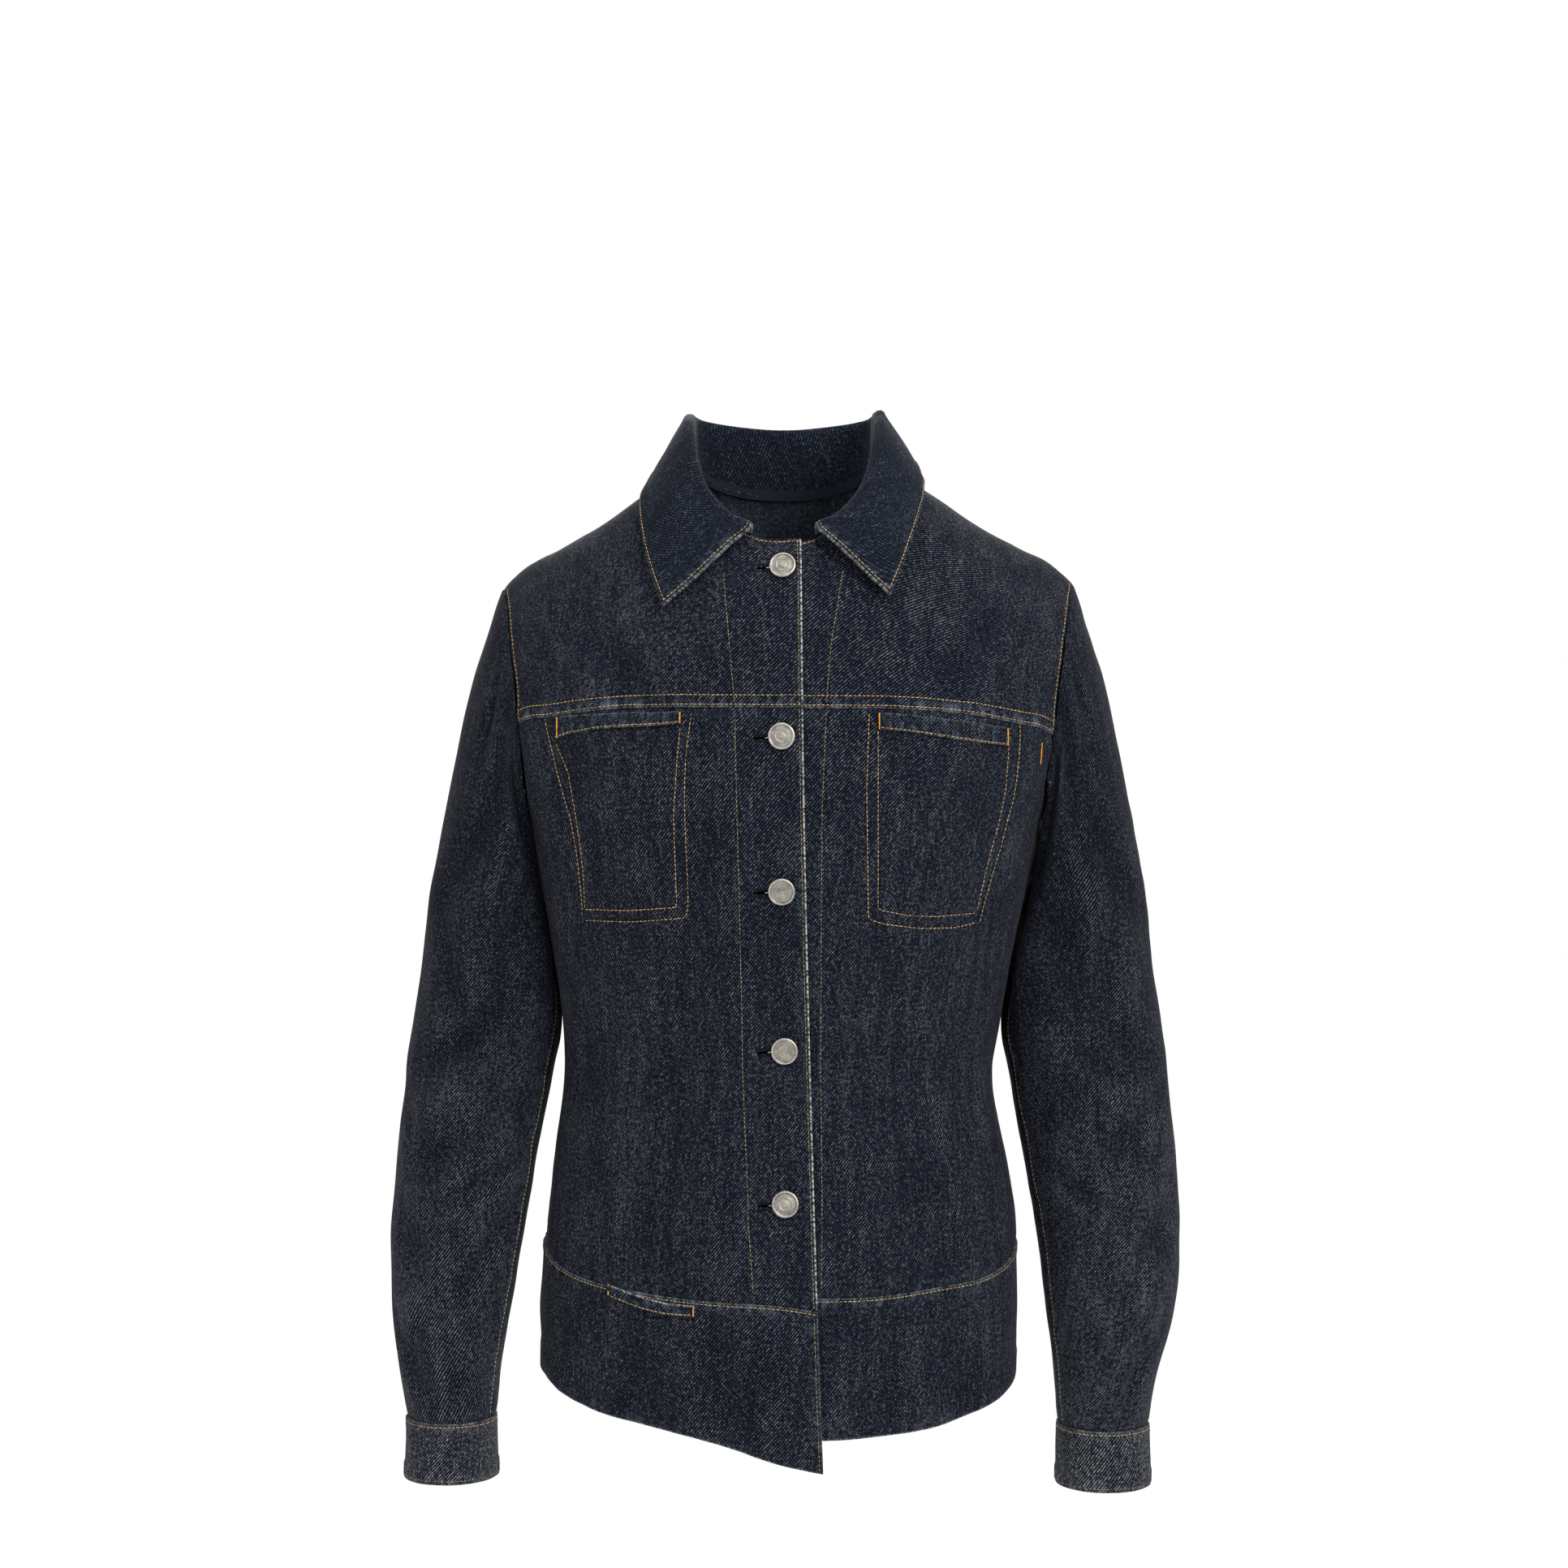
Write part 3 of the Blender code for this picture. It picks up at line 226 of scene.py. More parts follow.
# Sleeves, one table for each, from the biceps to the wrist
SLEEVE_RINGS = {
    RIGHT: np.array([
        # height, outer side, inner side, half-depth, centre depth
        (-623, 246.5, 189, 39, -34),
        (-600, 251, 187, 41, -30),
        (-555, 257, 180, 44, -22),
        (-506, 259, 172, 47, -12),
        (-447, 256, 162, 50, -4),
        (-404, 251, 154.5, 52, 2),
        (-365, 246, 147, 54, 7),
        (-330, 241, 146, 57, 10),
        (-300, 236, 149, 59, 11),
    ]) * MM,
    LEFT: np.array([
        (-628, 238, 179.5, 39, -34),
        (-600, 243.5, 177.5, 41, -30),
        (-555, 257.5, 173, 44, -22),
        (-506, 261, 168, 47, -12),
        (-447, 259, 157, 50, -4),
        (-404, 255, 150, 52, 2),
        (-365, 251, 143, 54, 7),
        (-330, 246, 144, 57, 10),
        (-300, 241, 149, 59, 11),
    ]) * MM,
}
BICEPS_Z = SLEEVE_RINGS[RIGHT][-1, 0]
RING_ANGLES = {
    # ring angle of each named place of the armhole, from the outer side round by the front
    "back seam": -62, "tip": 0, "yoke": 126, "front seam": 160, "armpit": 186,
}
HEAD_CELLS = 8
# How a sleeve leaves the armhole and arrives at the biceps: direction and pull, and what low on the
# armhole adds to them
LEAVE_OUT = (0.32, 0.43)
LEAVE_FRONT = -0.30
LEAVE_UP = (-0.90, 0.25)
LEAVE_PULL = (150 * MM, -125 * MM)
ARRIVE = (0.16, -0.02, -0.98)
ARRIVE_PULL = (120 * MM, -75 * MM)
CLEARANCE_ROWS = 3
# Degrees from the outer side over which the sleeve begins to keep its clearance from the body
CLEARANCE_SPREAD = (30, 75)
ARMHOLE_GAP = 0.7 * MM
ARMHOLE_REACH = 80 * MM
SLEEVE_CLEARANCE = 2.2 * MM

# Cuffs: a strip that laps over its own end at the back
CUFF_HEIGHT = 39 * MM
CUFF_PROUD = 0.9 * MM
CUFF_FLARE = 1.2 * MM
CUFF_GAP = 0.6 * MM
CUFF_END = -75
CUFF_LAP = 48
CUFF_RAMP = (0.9, 1.9)

# Collar
COLLAR_LIFT = 1.3 * MM
LEAF_LIFT = 3.8 * MM
FOLD_RADIUS = 3.2 * MM
FOLD_CELLS = 3
STAND_CELLS = 2
LEAF_CELLS = 6
COLLAR = {
    RIGHT: np.array([
        # share of the half collar, stand height, lean outwards, leaf edge across, depth, height
        (0.00, 3.0, 0.0, 76.5, -88, -99),
        (0.13, 6.0, 0.0, 83, -76, -80),
        (0.26, 13.0, 0.5, 87, -62, -62),
        (0.40, 22.5, 1.5, 89, -40, -38),
        (0.54, 27.5, 2.0, 85.5, -2, -14),
        (0.70, 34.5, 2.0, 79, 50, -24),
        (0.85, 39.5, 2.5, 48, 78, -28),
        (1.00, 40.5, 2.0, 0, 86, -29),
    ]) * (1, MM, MM, MM, MM, MM),
    LEFT: np.array([
        (0.00, 3.0, 0.0, 66.5, -88, -93),
        (0.13, 6.0, 0.0, 73, -76, -76),
        (0.26, 13.0, 0.5, 79, -62, -56),
        (0.40, 23.0, 1.0, 84.5, -40, -33),
        (0.54, 28.0, 1.5, 84, -2, -13),
        (0.70, 34.5, 2.0, 79, 50, -24),
        (0.85, 40.0, 2.5, 48, 78, -28),
        (1.00, 40.5, 2.0, 0, 86, -29),
    ]) * (1, MM, MM, MM, MM, MM),
}
LEAF_BULGE = 0.8 * MM
# Depth of the point that the collar leans away from, as a share from the front of the neck to its back
COLLAR_CENTRE = 0.6

# Buttons, by their places
FRONT_BUTTONS = np.array([
    # across, height
    (-0.7, -72),
    (-1.5, -181),
    (-1.5, -279),
    (0.3, -381),
    (0.8, -478),
]) * MM
BUTTON_GAP = 0.35 * MM
CUFF_BUTTON_ANGLE = -88
CUFF_BUTTON_DROP = 20 * MM

# %% [markdown]
# ## Folds and the body surface
# Cloth over a body is a closed ring at each height that bends over to the shoulders at the top. It could be
# sculpted or simulated, but a formula keeps every seam in its place, so the surface is one function of two
# numbers: the angle round the wearer and the level up the garment. Large folds are soft troughs with a low
# ridge on each side, listed one by one.

# %% Curves, steps and troughs
NORMAL_TURN = 0.004
NORMAL_RISE = 0.5 * MM
# The units of a table of folds, whose first column is a place across the body or round the sleeve
ACROSS_UNITS = (MM, MM, MM, MM, 1, MM)
ROUND_UNITS = (1, MM, MM, MM, 1, MM)
# Largest folds, as soft troughs
BODY_FOLDS = np.array([
    # across, height, half-length, half-width, turn in degrees, depth
    (-112, -130, 62, 13, -32, 2.2),
    (120, -128, 60, 13, 30, 2.2),
    (-134, -205, 55, 10, -12, 2.0),
    (132, -215, 55, 10, 14, 2.0),
    (-70, -455, 75, 15, 6, 1.8),
    (84, -470, 80, 15, -6, 2.0),
    (-92, -600, 40, 13, 6, 2.4),
    (-30, -600, 45, 14, -8, 2.6),
    (62, -595, 40, 13, 4, 2.4),
    (112, -592, 38, 12, -6, 2.2),
    (-60, -330, 70, 14, 4, 1.4),
    (66, -325, 70, 14, -4, 1.4),
]) * ACROSS_UNITS
SLEEVE_FOLDS = np.array([
    # ring angle in degrees, height, half-length, half-width, turn in degrees, depth
    (60, -268, 48, 12, 30, 2.6),
    (105, -320, 55, 13, 18, 2.8),
    (54, -395, 38, 12, 52, 2.4),
    (120, -420, 38, 11, -48, 3.0),
    (70, -452, 40, 12, 55, 2.8),
    (48, -500, 34, 12, -40, 2.2),
    (95, -545, 42, 12, 40, 2.4),
    (58, -592, 30, 10, -30, 2.2),
    (-70, -405, 40, 12, 50, 2.6),
    (-90, -455, 42, 12, -50, 2.6),
    (-52, -330, 50, 13, -20, 2.4),
    (-100, -560, 40, 12, 30, 2.2),
]) * ROUND_UNITS

# A low ridge lies on each side of a trough: its share of the depth, and its place in half-widths
RIDGE_SHARE = 0.45
RIDGE_PLACE = 1.9
# A degree of the sleeve ring is this many millimetres of cloth
FOLD_SCALE = 0.85
FOLD_UNITS = np.array([MM * FOLD_SCALE, 1, 1, 1, 1, 1])
SLEEVE_FOLD_FADE = (-628 * MM, -600 * MM)


def unit(vectors):
    """The same directions with length one."""
    return vectors / np.linalg.norm(vectors, axis=-1, keepdims=True)


def running(points):
    """Running length of a line at each of its points."""
    return np.concatenate([[0], np.cumsum(np.linalg.norm(np.diff(points, axis=0), axis=-1))])


def cubic(t, start, leave, end, arrive):
    """Cubic from start to end as t goes from 0 to 1, with the slopes that it leaves and arrives with."""
    first = (1 + 2 * t) * (1 - t) ** 2 * start + t * (1 - t) ** 2 * leave
    return first + (t * t * (3 - 2 * t) * end + t * t * (t - 1) * arrive)


def through(at, places, values):
    """Smooth curve through a short table: cubic pieces whose slopes come from the neighbouring rows."""
    at = np.clip(np.asarray(at, float), places[0], places[-1])
    slopes = np.gradient(values, places)
    row = np.clip(np.searchsorted(places, at) - 1, 0, len(places) - 2)
    span = places[row + 1] - places[row]
    t = (at - places[row]) / span
    return cubic(t, values[row], slopes[row] * span, values[row + 1], slopes[row + 1] * span)


def on_side(table, side, at):
    """Value of a side at a place in a table of (place, right, left)."""
    return through(at, table[:, 0], table[:, 1 if side == RIGHT else 2])


def soft_step(value, low, high):
    """0 below low, 1 above high, with level ends."""
    t = np.clip((value - low) / (high - low), 0, 1)
    return t * t * (3 - 2 * t)


def troughs(across, height, folds):
    """Depth of the folds at places of a surface: each is a long bell across its own turned axis."""
    depth = np.zeros(np.shape(across))
    for place, level, half_length, half_width, turn, deep in folds:
        cosine = math.cos(math.radians(turn))
        sine = math.sin(math.radians(turn))
        along = (height - level) * cosine + (across - place) * sine
        beside = (across - place) * cosine - (height - level) * sine
        ridges = RIDGE_SHARE * np.exp(-((np.abs(beside) / half_width - RIDGE_PLACE) ** 2))
        bell = np.exp(-(beside / half_width) ** 2) - ridges
        depth = depth + deep * bell * np.exp(-(along / half_length) ** 2)
    return depth


# %% Body surface
def half_width(side_sign, height):
    """Half-width of the body ring towards +X where side_sign is positive, else towards -X."""
    right = through(height, BODY_RINGS[:, 0], BODY_RINGS[:, 1])
    left = through(height, BODY_RINGS[:, 0], BODY_RINGS[:, 2])
    return np.where(side_sign > 0, left, right)


def body(angle, level):
    """Outer surface of the body. The angle (radians) runs from the centre front to the wearer's left.

    Up to level 0, the armpit line, the level is the height above it and the ring is x = a sin(angle),
    y = b |cos(angle)| ** roundness. Above it each column bends over to the shoulder ridge on a quarter
    turn: its height goes with the sine of the turn, its depth with a power of the cosine.
    """
    angle, level = np.broadcast_arrays(np.asarray(angle, float), np.asarray(level, float))
    turn = np.clip(level, 0, SHOULDER_RISE) / SHOULDER_RISE * math.pi / 2
    rise = np.sin(turn)
    low_height = ARMPIT_Z + np.minimum(level, 0)
    reach = np.where(np.sin(angle) > 0, SHOULDER_REACH[LEFT], SHOULDER_REACH[RIGHT])
    width = half_width(np.sin(angle), low_height)
    width = width + (reach - width) * (1 - (1 - rise) ** 2)
    x = width * np.sin(angle)
    front = through(low_height, BODY_RINGS[:, 0], BODY_RINGS[:, 3])
    back = through(low_height, BODY_RINGS[:, 0], BODY_RINGS[:, 4])
    ring_y = np.where(np.cos(angle) > 0, -front, back) * np.abs(np.cos(angle)) ** RING_ROUNDNESS
    share = np.abs(x) / reach
    ridge_z = through(share, RIDGE[:, 0], RIDGE[:, 1]) + SHOULDER_TILT * share * np.sign(x)
    ridge_y = through(share, RIDGE[:, 0], RIDGE[:, 2])
    bent = np.abs(np.cos(turn)) ** RISE_ROUNDNESS
    y = ridge_y * (1 - bent) + ring_y * bent
    z = low_height + (ridge_z - ARMPIT_Z) * rise
    points = np.stack([x, y, z], -1)
    front_side = np.cos(angle) > 0
    sink = np.where(front_side, troughs(x, z, BODY_FOLDS), troughs(x, z, BODY_FOLDS * (-1, 1, 1, 1, -1, 1)))
    inward = np.stack([-np.sin(angle), np.cos(angle), np.zeros_like(x)], -1)
    return points + inward * (sink * (1 - rise ** 4))[..., None]


def body_normal(angle, level):
    """Outward unit normal of the body surface, from small steps to both sides."""
    round_step = body(angle + NORMAL_TURN, level) - body(angle - NORMAL_TURN, level)
    up_step = body(angle, level + NORMAL_RISE) - body(angle, level - NORMAL_RISE)
    return unit(np.cross(round_step, up_step))


def body_grid(domain, laps):
    """Points and normals of a body piece; the right front is lifted where it laps over."""
    grid = body(domain[..., 0], domain[..., 1])
    normal = body_normal(domain[..., 0], domain[..., 1])
    if laps:
        grid = grid + normal * lap_lift(grid[..., 0])[..., None]
    return grid, normal


print("chest to back in mm:", np.round(body(np.array([0, math.pi]), 0.0)[:, 1] / MM, 1))

# %% [markdown]
# ## Seam lines and panels
# Every panel is bounded by seam lines. Each line is a row of (angle, level) pairs, and a panel is the Coons
# patch between its four lines: the two ruled surfaces added, and the corners taken off once. Neighbours
# share their lines, so their edges meet, as the edges of a cut pattern do.

# %% Places on the surface
PRINCESS_GUESS = math.radians(60)   # angle at which the search for the seam starts


def level_at(angle, height):
    """Level of the surface at which a column reaches a height."""
    low = height - ARMPIT_Z
    level = np.broadcast_to(low, np.broadcast(angle, height).shape).astype(float)
    for _ in range(SETTLE_STEPS):
        ridge_z = body(angle, SHOULDER_RISE * np.ones_like(level))[..., 2]
        share = np.clip((height - ARMPIT_Z) / (ridge_z - ARMPIT_Z), 0, 1)
        level = np.where(low > 0, np.arcsin(share) / (math.pi / 2) * SHOULDER_RISE, low)
    return level


def angle_at(x, level, front=True):
    """Angle of the surface at which a level reaches a place across."""
    edge = body(np.where(np.asarray(x) > 0, 1, -1) * math.pi / 2, level)[..., 0]
    angle = np.arcsin(np.clip(x / np.abs(edge), -1, 1))
    return angle if front else math.pi - angle


def lap_lift(x):
    """How far the right front stands off where it laps over the left front."""
    return LAP_LIFT * soft_step(x, *LAP_RAMP)


def pair(angle, level):
    """Angles and levels side by side, as places of the surface."""
    angle, level = np.broadcast_arrays(angle, level)
    return np.stack([angle, level], -1).astype(float)


def neck_pair(x, back=False):
    """Point of the neckline at a place across."""
    drop = BACK_NECK_DROP if back else FRONT_NECK_DROP
    share = np.clip(1 - (np.abs(x) / NECK_HALF) ** NECK_ROUNDNESS, 0, 1)
    height_share = 1 - share ** (1 / NECK_ROUNDNESS)
    ridge = through(np.abs(x) / SHOULDER_REACH[LEFT], RIDGE[:, 0], RIDGE[:, 1])
    height = -drop + (drop + ridge) * height_share
    level = np.where(share > 0, 0.0, SHOULDER_RISE)
    angle = np.asarray(x) * 0.0
    for _ in range(SETTLE_STEPS):
        angle = angle_at(x, level, not back)
        level = np.where(share > 0, level_at(angle, height), SHOULDER_RISE)
    return pair(angle, level)


def even_neck(start, end, cells, back=False):
    """Neckline points at even lengths between two places across."""
    turn = np.linspace(math.asin(start / NECK_HALF), math.asin(end / NECK_HALF), NECK_TRIALS)
    trial = neck_pair(NECK_HALF * np.sin(turn), back)
    length = running(body(trial[:, 0], trial[:, 1]))
    even = np.interp(np.linspace(0, length[-1], cells + 1), length, turn)
    return neck_pair(NECK_HALF * np.sin(even), back)


def neck_line(side):
    """Neckline samples of a front, from its front edge to the shoulder seam."""
    edge = FRONT_EDGE[-1, 1] if side == RIGHT else UNDER_EDGE
    lap = neck_pair(np.linspace(edge, side * COLLAR_START, NECK_LAP_CELLS + 1))
    return np.concatenate([lap[:-1], even_neck(side * COLLAR_START, side * NECK_HALF, NECK_SIDE_CELLS)])


def shoulder_line(side):
    """Shoulder seam samples, from the neck to the tip."""
    start = neck_pair(np.array([side * NECK_HALF]))[0, 0]
    return pair(np.linspace(start, side * math.radians(TIP_ANGLE), SHOULDER_CELLS + 1), SHOULDER_RISE)


def armhole(share, side, back=False):
    """Front or back line of the armhole, at shares of the way from the armpit to the shoulder tip."""
    angle = through(share, ARMHOLE[:, 0], np.radians(ARMHOLE[:, 2 if back else 1]))
    return pair(side * angle, share * SHOULDER_RISE)


def yoke_height(side, angle):
    """Height of the yoke seam at an angle."""
    return on_side(YOKE_SEAM, side, np.abs(np.sin(angle)) * np.sign(np.sin(angle) * side))


def yoke_share(side):
    """Share of the armhole at which the yoke seam meets it."""
    shares = np.linspace(ARMHOLE[1, 0], ARMHOLE[-2, 0], YOKE_TRIALS)
    line = armhole(shares, side)
    gap = body(line[:, 0], line[:, 1])[:, 2] - yoke_height(side, line[:, 0])
    return float(np.interp(0, gap, shares))


def armhole_shares(side):
    """Samples of the front armhole below and above the yoke seam, and of the back armhole."""
    meet = yoke_share(side)
    below = meet * np.linspace(0, 1, SIDE_ARM_CELLS + 1) ** ARM_CROWDING["front"]
    above = np.linspace(meet, 1, YOKE_ARM_CELLS + 1)
    back = np.linspace(0, 1, BACK_ARM_CELLS + 1) ** ARM_CROWDING["back"]
    return below, above, back


def princess_x(side, height):
    """Place across of the seam between centre front and side front."""
    return side * on_side(PRINCESS_SEAM, side, height)


def princess_line(side, rows):
    """Seam between centre front and side front, from the band to the yoke."""
    angle = side * PRINCESS_GUESS
    low = band_height(side, angle)
    top = yoke_height(side, angle)
    for _ in range(SETTLE_STEPS):
        heights = np.linspace(low, top, rows + 1)
        levels = level_at(np.full(rows + 1, angle), heights)
        angles = angle_at(princess_x(side, heights), levels)
        for _ in range(SETTLE_STEPS):
            levels = level_at(angles, heights)
            angles = angle_at(princess_x(side, heights), levels)
        low = band_height(side, angles[0])
        top = yoke_height(side, angles[-1])
    return pair(angles, levels)


def band_height(side, angle):
    """Height of the seam between the panels and the hem band."""
    return on_side(BAND_SEAM, side, side * np.degrees(angle))


def hem_height(side, angle):
    """Height of the hem."""
    return on_side(HEM, side, side * np.degrees(angle))


def edge_x(side, height):
    """Place across of a front edge; the left one lies under the right."""
    over = through(height, FRONT_EDGE[:, 0], FRONT_EDGE[:, 1])
    return over if side == RIGHT else np.full(np.shape(height), UNDER_EDGE)


def edge_line(side, low, high, rows):
    """Front edge between two heights."""
    heights = np.linspace(low, high, rows + 1)
    levels = level_at(np.zeros(rows + 1), heights)
    for _ in range(SETTLE_STEPS):
        angles = angle_at(edge_x(side, heights), levels)
        levels = level_at(angles, heights)
    return pair(angles, levels)


def seam_between(start, end, cells, height_of, side):
    """Samples of a seam from one angle to another, at the height that the seam has there."""
    angles = np.linspace(start, end, cells + 1)
    return pair(angles, level_at(angles, height_of(side, angles)))


def patch(bottom, top, start, end, rise=None):
    """Coons patch in angle and level: blends the four edges. Rows run from bottom to top."""
    across = np.linspace(0, 1, len(bottom))[None, :, None]
    up = (np.linspace(0, 1, len(start)) if rise is None else rise)[:, None, None]
    ruled = (1 - up) * bottom[None] + up * top[None] + (1 - across) * start[:, None] + across * end[:, None]
    corners = (1 - up) * ((1 - across) * bottom[0] + across * bottom[-1])
    corners = corners + up * ((1 - across) * top[0] + across * top[-1])
    return ruled - corners


# %% Panels of the body
# Number of cells along each seam, which two neighbours share
NECK_LAP_CELLS = 2
NECK_SIDE_CELLS = 5
NECK_BACK_CELLS = 8
SHOULDER_CELLS = 6
YOKE_ARM_CELLS = 7
SIDE_ARM_CELLS = 5
BACK_ARM_CELLS = 8
PANEL_CELLS = 11
SIDE_TOP_CELLS = 2
YOKE_ROWS = YOKE_ARM_CELLS
PANEL_ROWS = 14
BACK_SEAM_CELLS = 9
BAND_ROWS = 4
FRONT_SEAM_SAMPLE = 3
BACK_SEAM_SAMPLE = 5


def front_domains(side):
    """Angle and level grids of the four front pieces of a side."""
    below, above, _ = armhole_shares(side)
    laps = side == RIGHT
    princess = princess_line(side, PANEL_ROWS)
    meet = armhole(np.array([above[0]]), side)[0]

    edge_top = float(yoke_height(side, 0.0))
    panel_edge = edge_line(side, float(band_height(side, -side * BAND_START)), edge_top, PANEL_ROWS)
    yoke_front = seam_between(panel_edge[-1, 0], princess[-1, 0], PANEL_CELLS, yoke_height, side)
    yoke_side = seam_between(princess[-1, 0], meet[0], SIDE_TOP_CELLS, yoke_height, side)
    yoke_front[-1] = princess[-1]
    yoke_side[0] = princess[-1]
    yoke_side[-1] = meet

    neck = neck_line(side)
    shoulder = shoulder_line(side)
    yoke_top = np.concatenate([neck[:-1], shoulder])
    yoke_bottom = np.concatenate([yoke_front[:-1], yoke_side])
    neck_height = body(neck[0, 0], neck[0, 1])[2]
    yoke_edge = edge_line(side, edge_top, neck_height, YOKE_ROWS)
    yoke_edge[0] = yoke_front[0]
    yoke_edge[-1] = neck[0]
    yoke = patch(yoke_bottom, yoke_top, yoke_edge, armhole(above, side))

    band_front = seam_between(panel_edge[0, 0], princess[0, 0], PANEL_CELLS, band_height, side)
    band_front[-1] = princess[0]
    side_cells = SIDE_TOP_CELLS + SIDE_ARM_CELLS
    band_side = seam_between(princess[0, 0], side * math.pi / 2, side_cells, band_height, side)
    band_side[0] = princess[0]
    panel_edge[0] = band_front[0]
    panel_edge[-1] = yoke_front[0]
    panel = patch(band_front, yoke_front, panel_edge, princess)

    arm = armhole(below[::-1], side)
    side_top = np.concatenate([yoke_side[:-1], arm])
    side_seam = pair(side * math.pi / 2, np.linspace(band_side[-1, 1], 0, PANEL_ROWS + 1))
    side_panel = patch(band_side, side_top, princess, side_seam)

    band_top = np.concatenate([band_front[:-1], band_side])
    hem = pair(band_top[:, 0], level_at(band_top[:, 0], hem_height(side, band_top[:, 0])))
    hem_edge = edge_line(side, body(*hem[0])[2], body(*band_top[0])[2], BAND_ROWS)
    hem[0] = hem_edge[0]
    band_side_seam = pair(side * math.pi / 2, np.linspace(hem[-1, 1], band_top[-1, 1], BAND_ROWS + 1))
    hem_edge[-1] = band_top[0]
    band = patch(hem, band_top, hem_edge, band_side_seam)
    return {"front_yoke": yoke, "front_panel": panel, "side_front": side_panel, "band_front": band}


def back_domains():
    """Angle and level grids of the back panel and the back band, from the right side to the left.

    Each side of the panel runs up the side seam and on round the armhole to the shoulder tip.
    """
    shoulders = {}
    for side in (RIGHT, LEFT):
        line = shoulder_line(side)[::-1]
        line[:, 0] = math.pi * (1 - side) + side * math.pi - line[:, 0]
        shoulders[side] = line
    neck = even_neck(-NECK_HALF, NECK_HALF, NECK_BACK_CELLS, back=True)
    top = np.concatenate([shoulders[RIGHT], neck[1:-1], shoulders[LEFT][::-1]])
    angles = np.linspace(1.5 * math.pi, 0.5 * math.pi, len(top))
    signed = np.where(angles > math.pi, angles - 2 * math.pi, angles)

    def seam(height_of):
        heights = np.where(signed < 0, height_of(RIGHT, signed), height_of(LEFT, signed))
        return pair(angles, heights - ARMPIT_Z)

    band_top = seam(band_height)
    hem = seam(hem_height)
    edges = {}
    for side, end in ((RIGHT, 0), (LEFT, -1)):
        seam_levels = np.linspace(band_top[end, 1], 0, BACK_SEAM_CELLS + 1)
        arm = armhole(armhole_shares(side)[2], side, back=True)
        arm[:, 0] = arm[:, 0] % (2 * math.pi)
        edges[side] = np.concatenate([pair(angles[end], seam_levels[:-1]), arm])
    rise = edges[RIGHT][:, 1] - edges[RIGHT][0, 1]
    panel = patch(band_top, top, edges[RIGHT], edges[LEFT], rise / rise[-1])
    ends = [pair(angles[k], np.linspace(hem[k, 1], band_top[k, 1], BAND_ROWS + 1)) for k in (0, -1)]
    return {"back_panel": panel, "band_back": patch(hem, band_top, *ends)}


print("panels:", sorted(front_domains(RIGHT)) + sorted(back_domains()))

# %% [markdown]
# ## From panel to cloth
# A panel's coarse grid is refined with the same cubic as the tables, with cells of about a millimetre along
# its seams and three in its middle, because seams carry the finest relief. Each cloth keeps, for every
# vertex, its distance from the four edges and its place along them. Thread rows, puckers and fading are all
# laid out from those distances, as a machinist guides a seam from the cloth's edge.

# %% Refined grids
EDGE_CELL = 1.3 * MM
FIELD_CELL = 3.4 * MM
EDGE_ZONE = 16 * MM
GRADE_SAMPLES = 800
TINY = 1e-12
NOISE_WAVES = 7
NOISE_TURN = 2.2            # radians that a wave turns in the length of the noise's size, on average
NOISE_HEIGHT = 2.6          # of so many waves added


def refine(grid, rows, columns):
    """Cubic through the grid's rows, then through its columns, at fractional row and column numbers."""
    for axis, at in ((0, rows), (1, columns)):
        grid = np.moveaxis(grid, axis, 0)
        slopes = np.gradient(grid, axis=0)
        cell = np.clip(np.floor(at).astype(int), 0, len(grid) - 2)
        t = (at - cell).reshape((-1,) + (1,) * (grid.ndim - 1))
        grid = cubic(t, grid[cell], slopes[cell], grid[cell + 1], slopes[cell + 1])
        grid = np.moveaxis(grid, 0, axis)
    return grid


def graded(points, fine_start=True, fine_end=True, field=FIELD_CELL):
    """Fractional sample numbers along a row of points, close together near its ends.

    The wanted cell grows softly from the edge cell to the field cell over the edge zone; the running sum of
    its inverse gives the number of cells, and is read backwards for their places.
    """
    length = running(points)
    at = np.linspace(0, length[-1], GRADE_SAMPLES)
    near = np.minimum(at if fine_start else 1, length[-1] - at if fine_end else 1)
    cell = EDGE_CELL + (field - EDGE_CELL) * soft_step(near, 0, EDGE_ZONE)
    count = np.concatenate([[0], np.cumsum(np.diff(at) / cell[1:])])
    places = np.interp(np.linspace(0, count[-1], int(math.ceil(count[-1])) + 1), count, at)
    return np.interp(places, length, np.arange(len(points)))


def arc(points, axis):
    """Running length along an axis of a grid of points."""
    steps = np.linalg.norm(np.diff(points, axis=axis), axis=-1)
    pad = [(0, 0), (0, 0)]
    pad[axis] = (1, 0)
    return np.cumsum(np.pad(steps, pad), axis=axis)


def grid_normals(points, outward):
    """Unit normals of a grid, from the cross product of its two directions, turned outwards."""
    normal = np.cross(np.gradient(points, axis=1), np.gradient(points, axis=0))
    normal = normal / np.maximum(np.linalg.norm(normal, axis=-1, keepdims=True), TINY)
    return normal if np.sum(normal * outward) > 0 else -normal


def noise(places, size, seed):
    """Smooth noise of about unit height: sine waves in seeded directions, added."""
    rng = np.random.default_rng(seed)
    total = 0
    for _ in range(NOISE_WAVES):
        wave = rng.normal(size=places.shape[-1]) / size * NOISE_TURN
        total = total + np.sin(places @ wave + rng.uniform(0, 2 * math.pi))
    return total / NOISE_HEIGHT


# %% [markdown]
# ## Seam relief
# Where two panels join, one edge is folded over the other and sewn down, so it stands proud by two layers
# as far as its second row of thread; each row pulls the cloth down into a small groove; and the edge itself
# is rounded where it turns under. Between the rows the cloth draws up into puckers. The relief is added
# along the surface's normals from the distance to the edge.

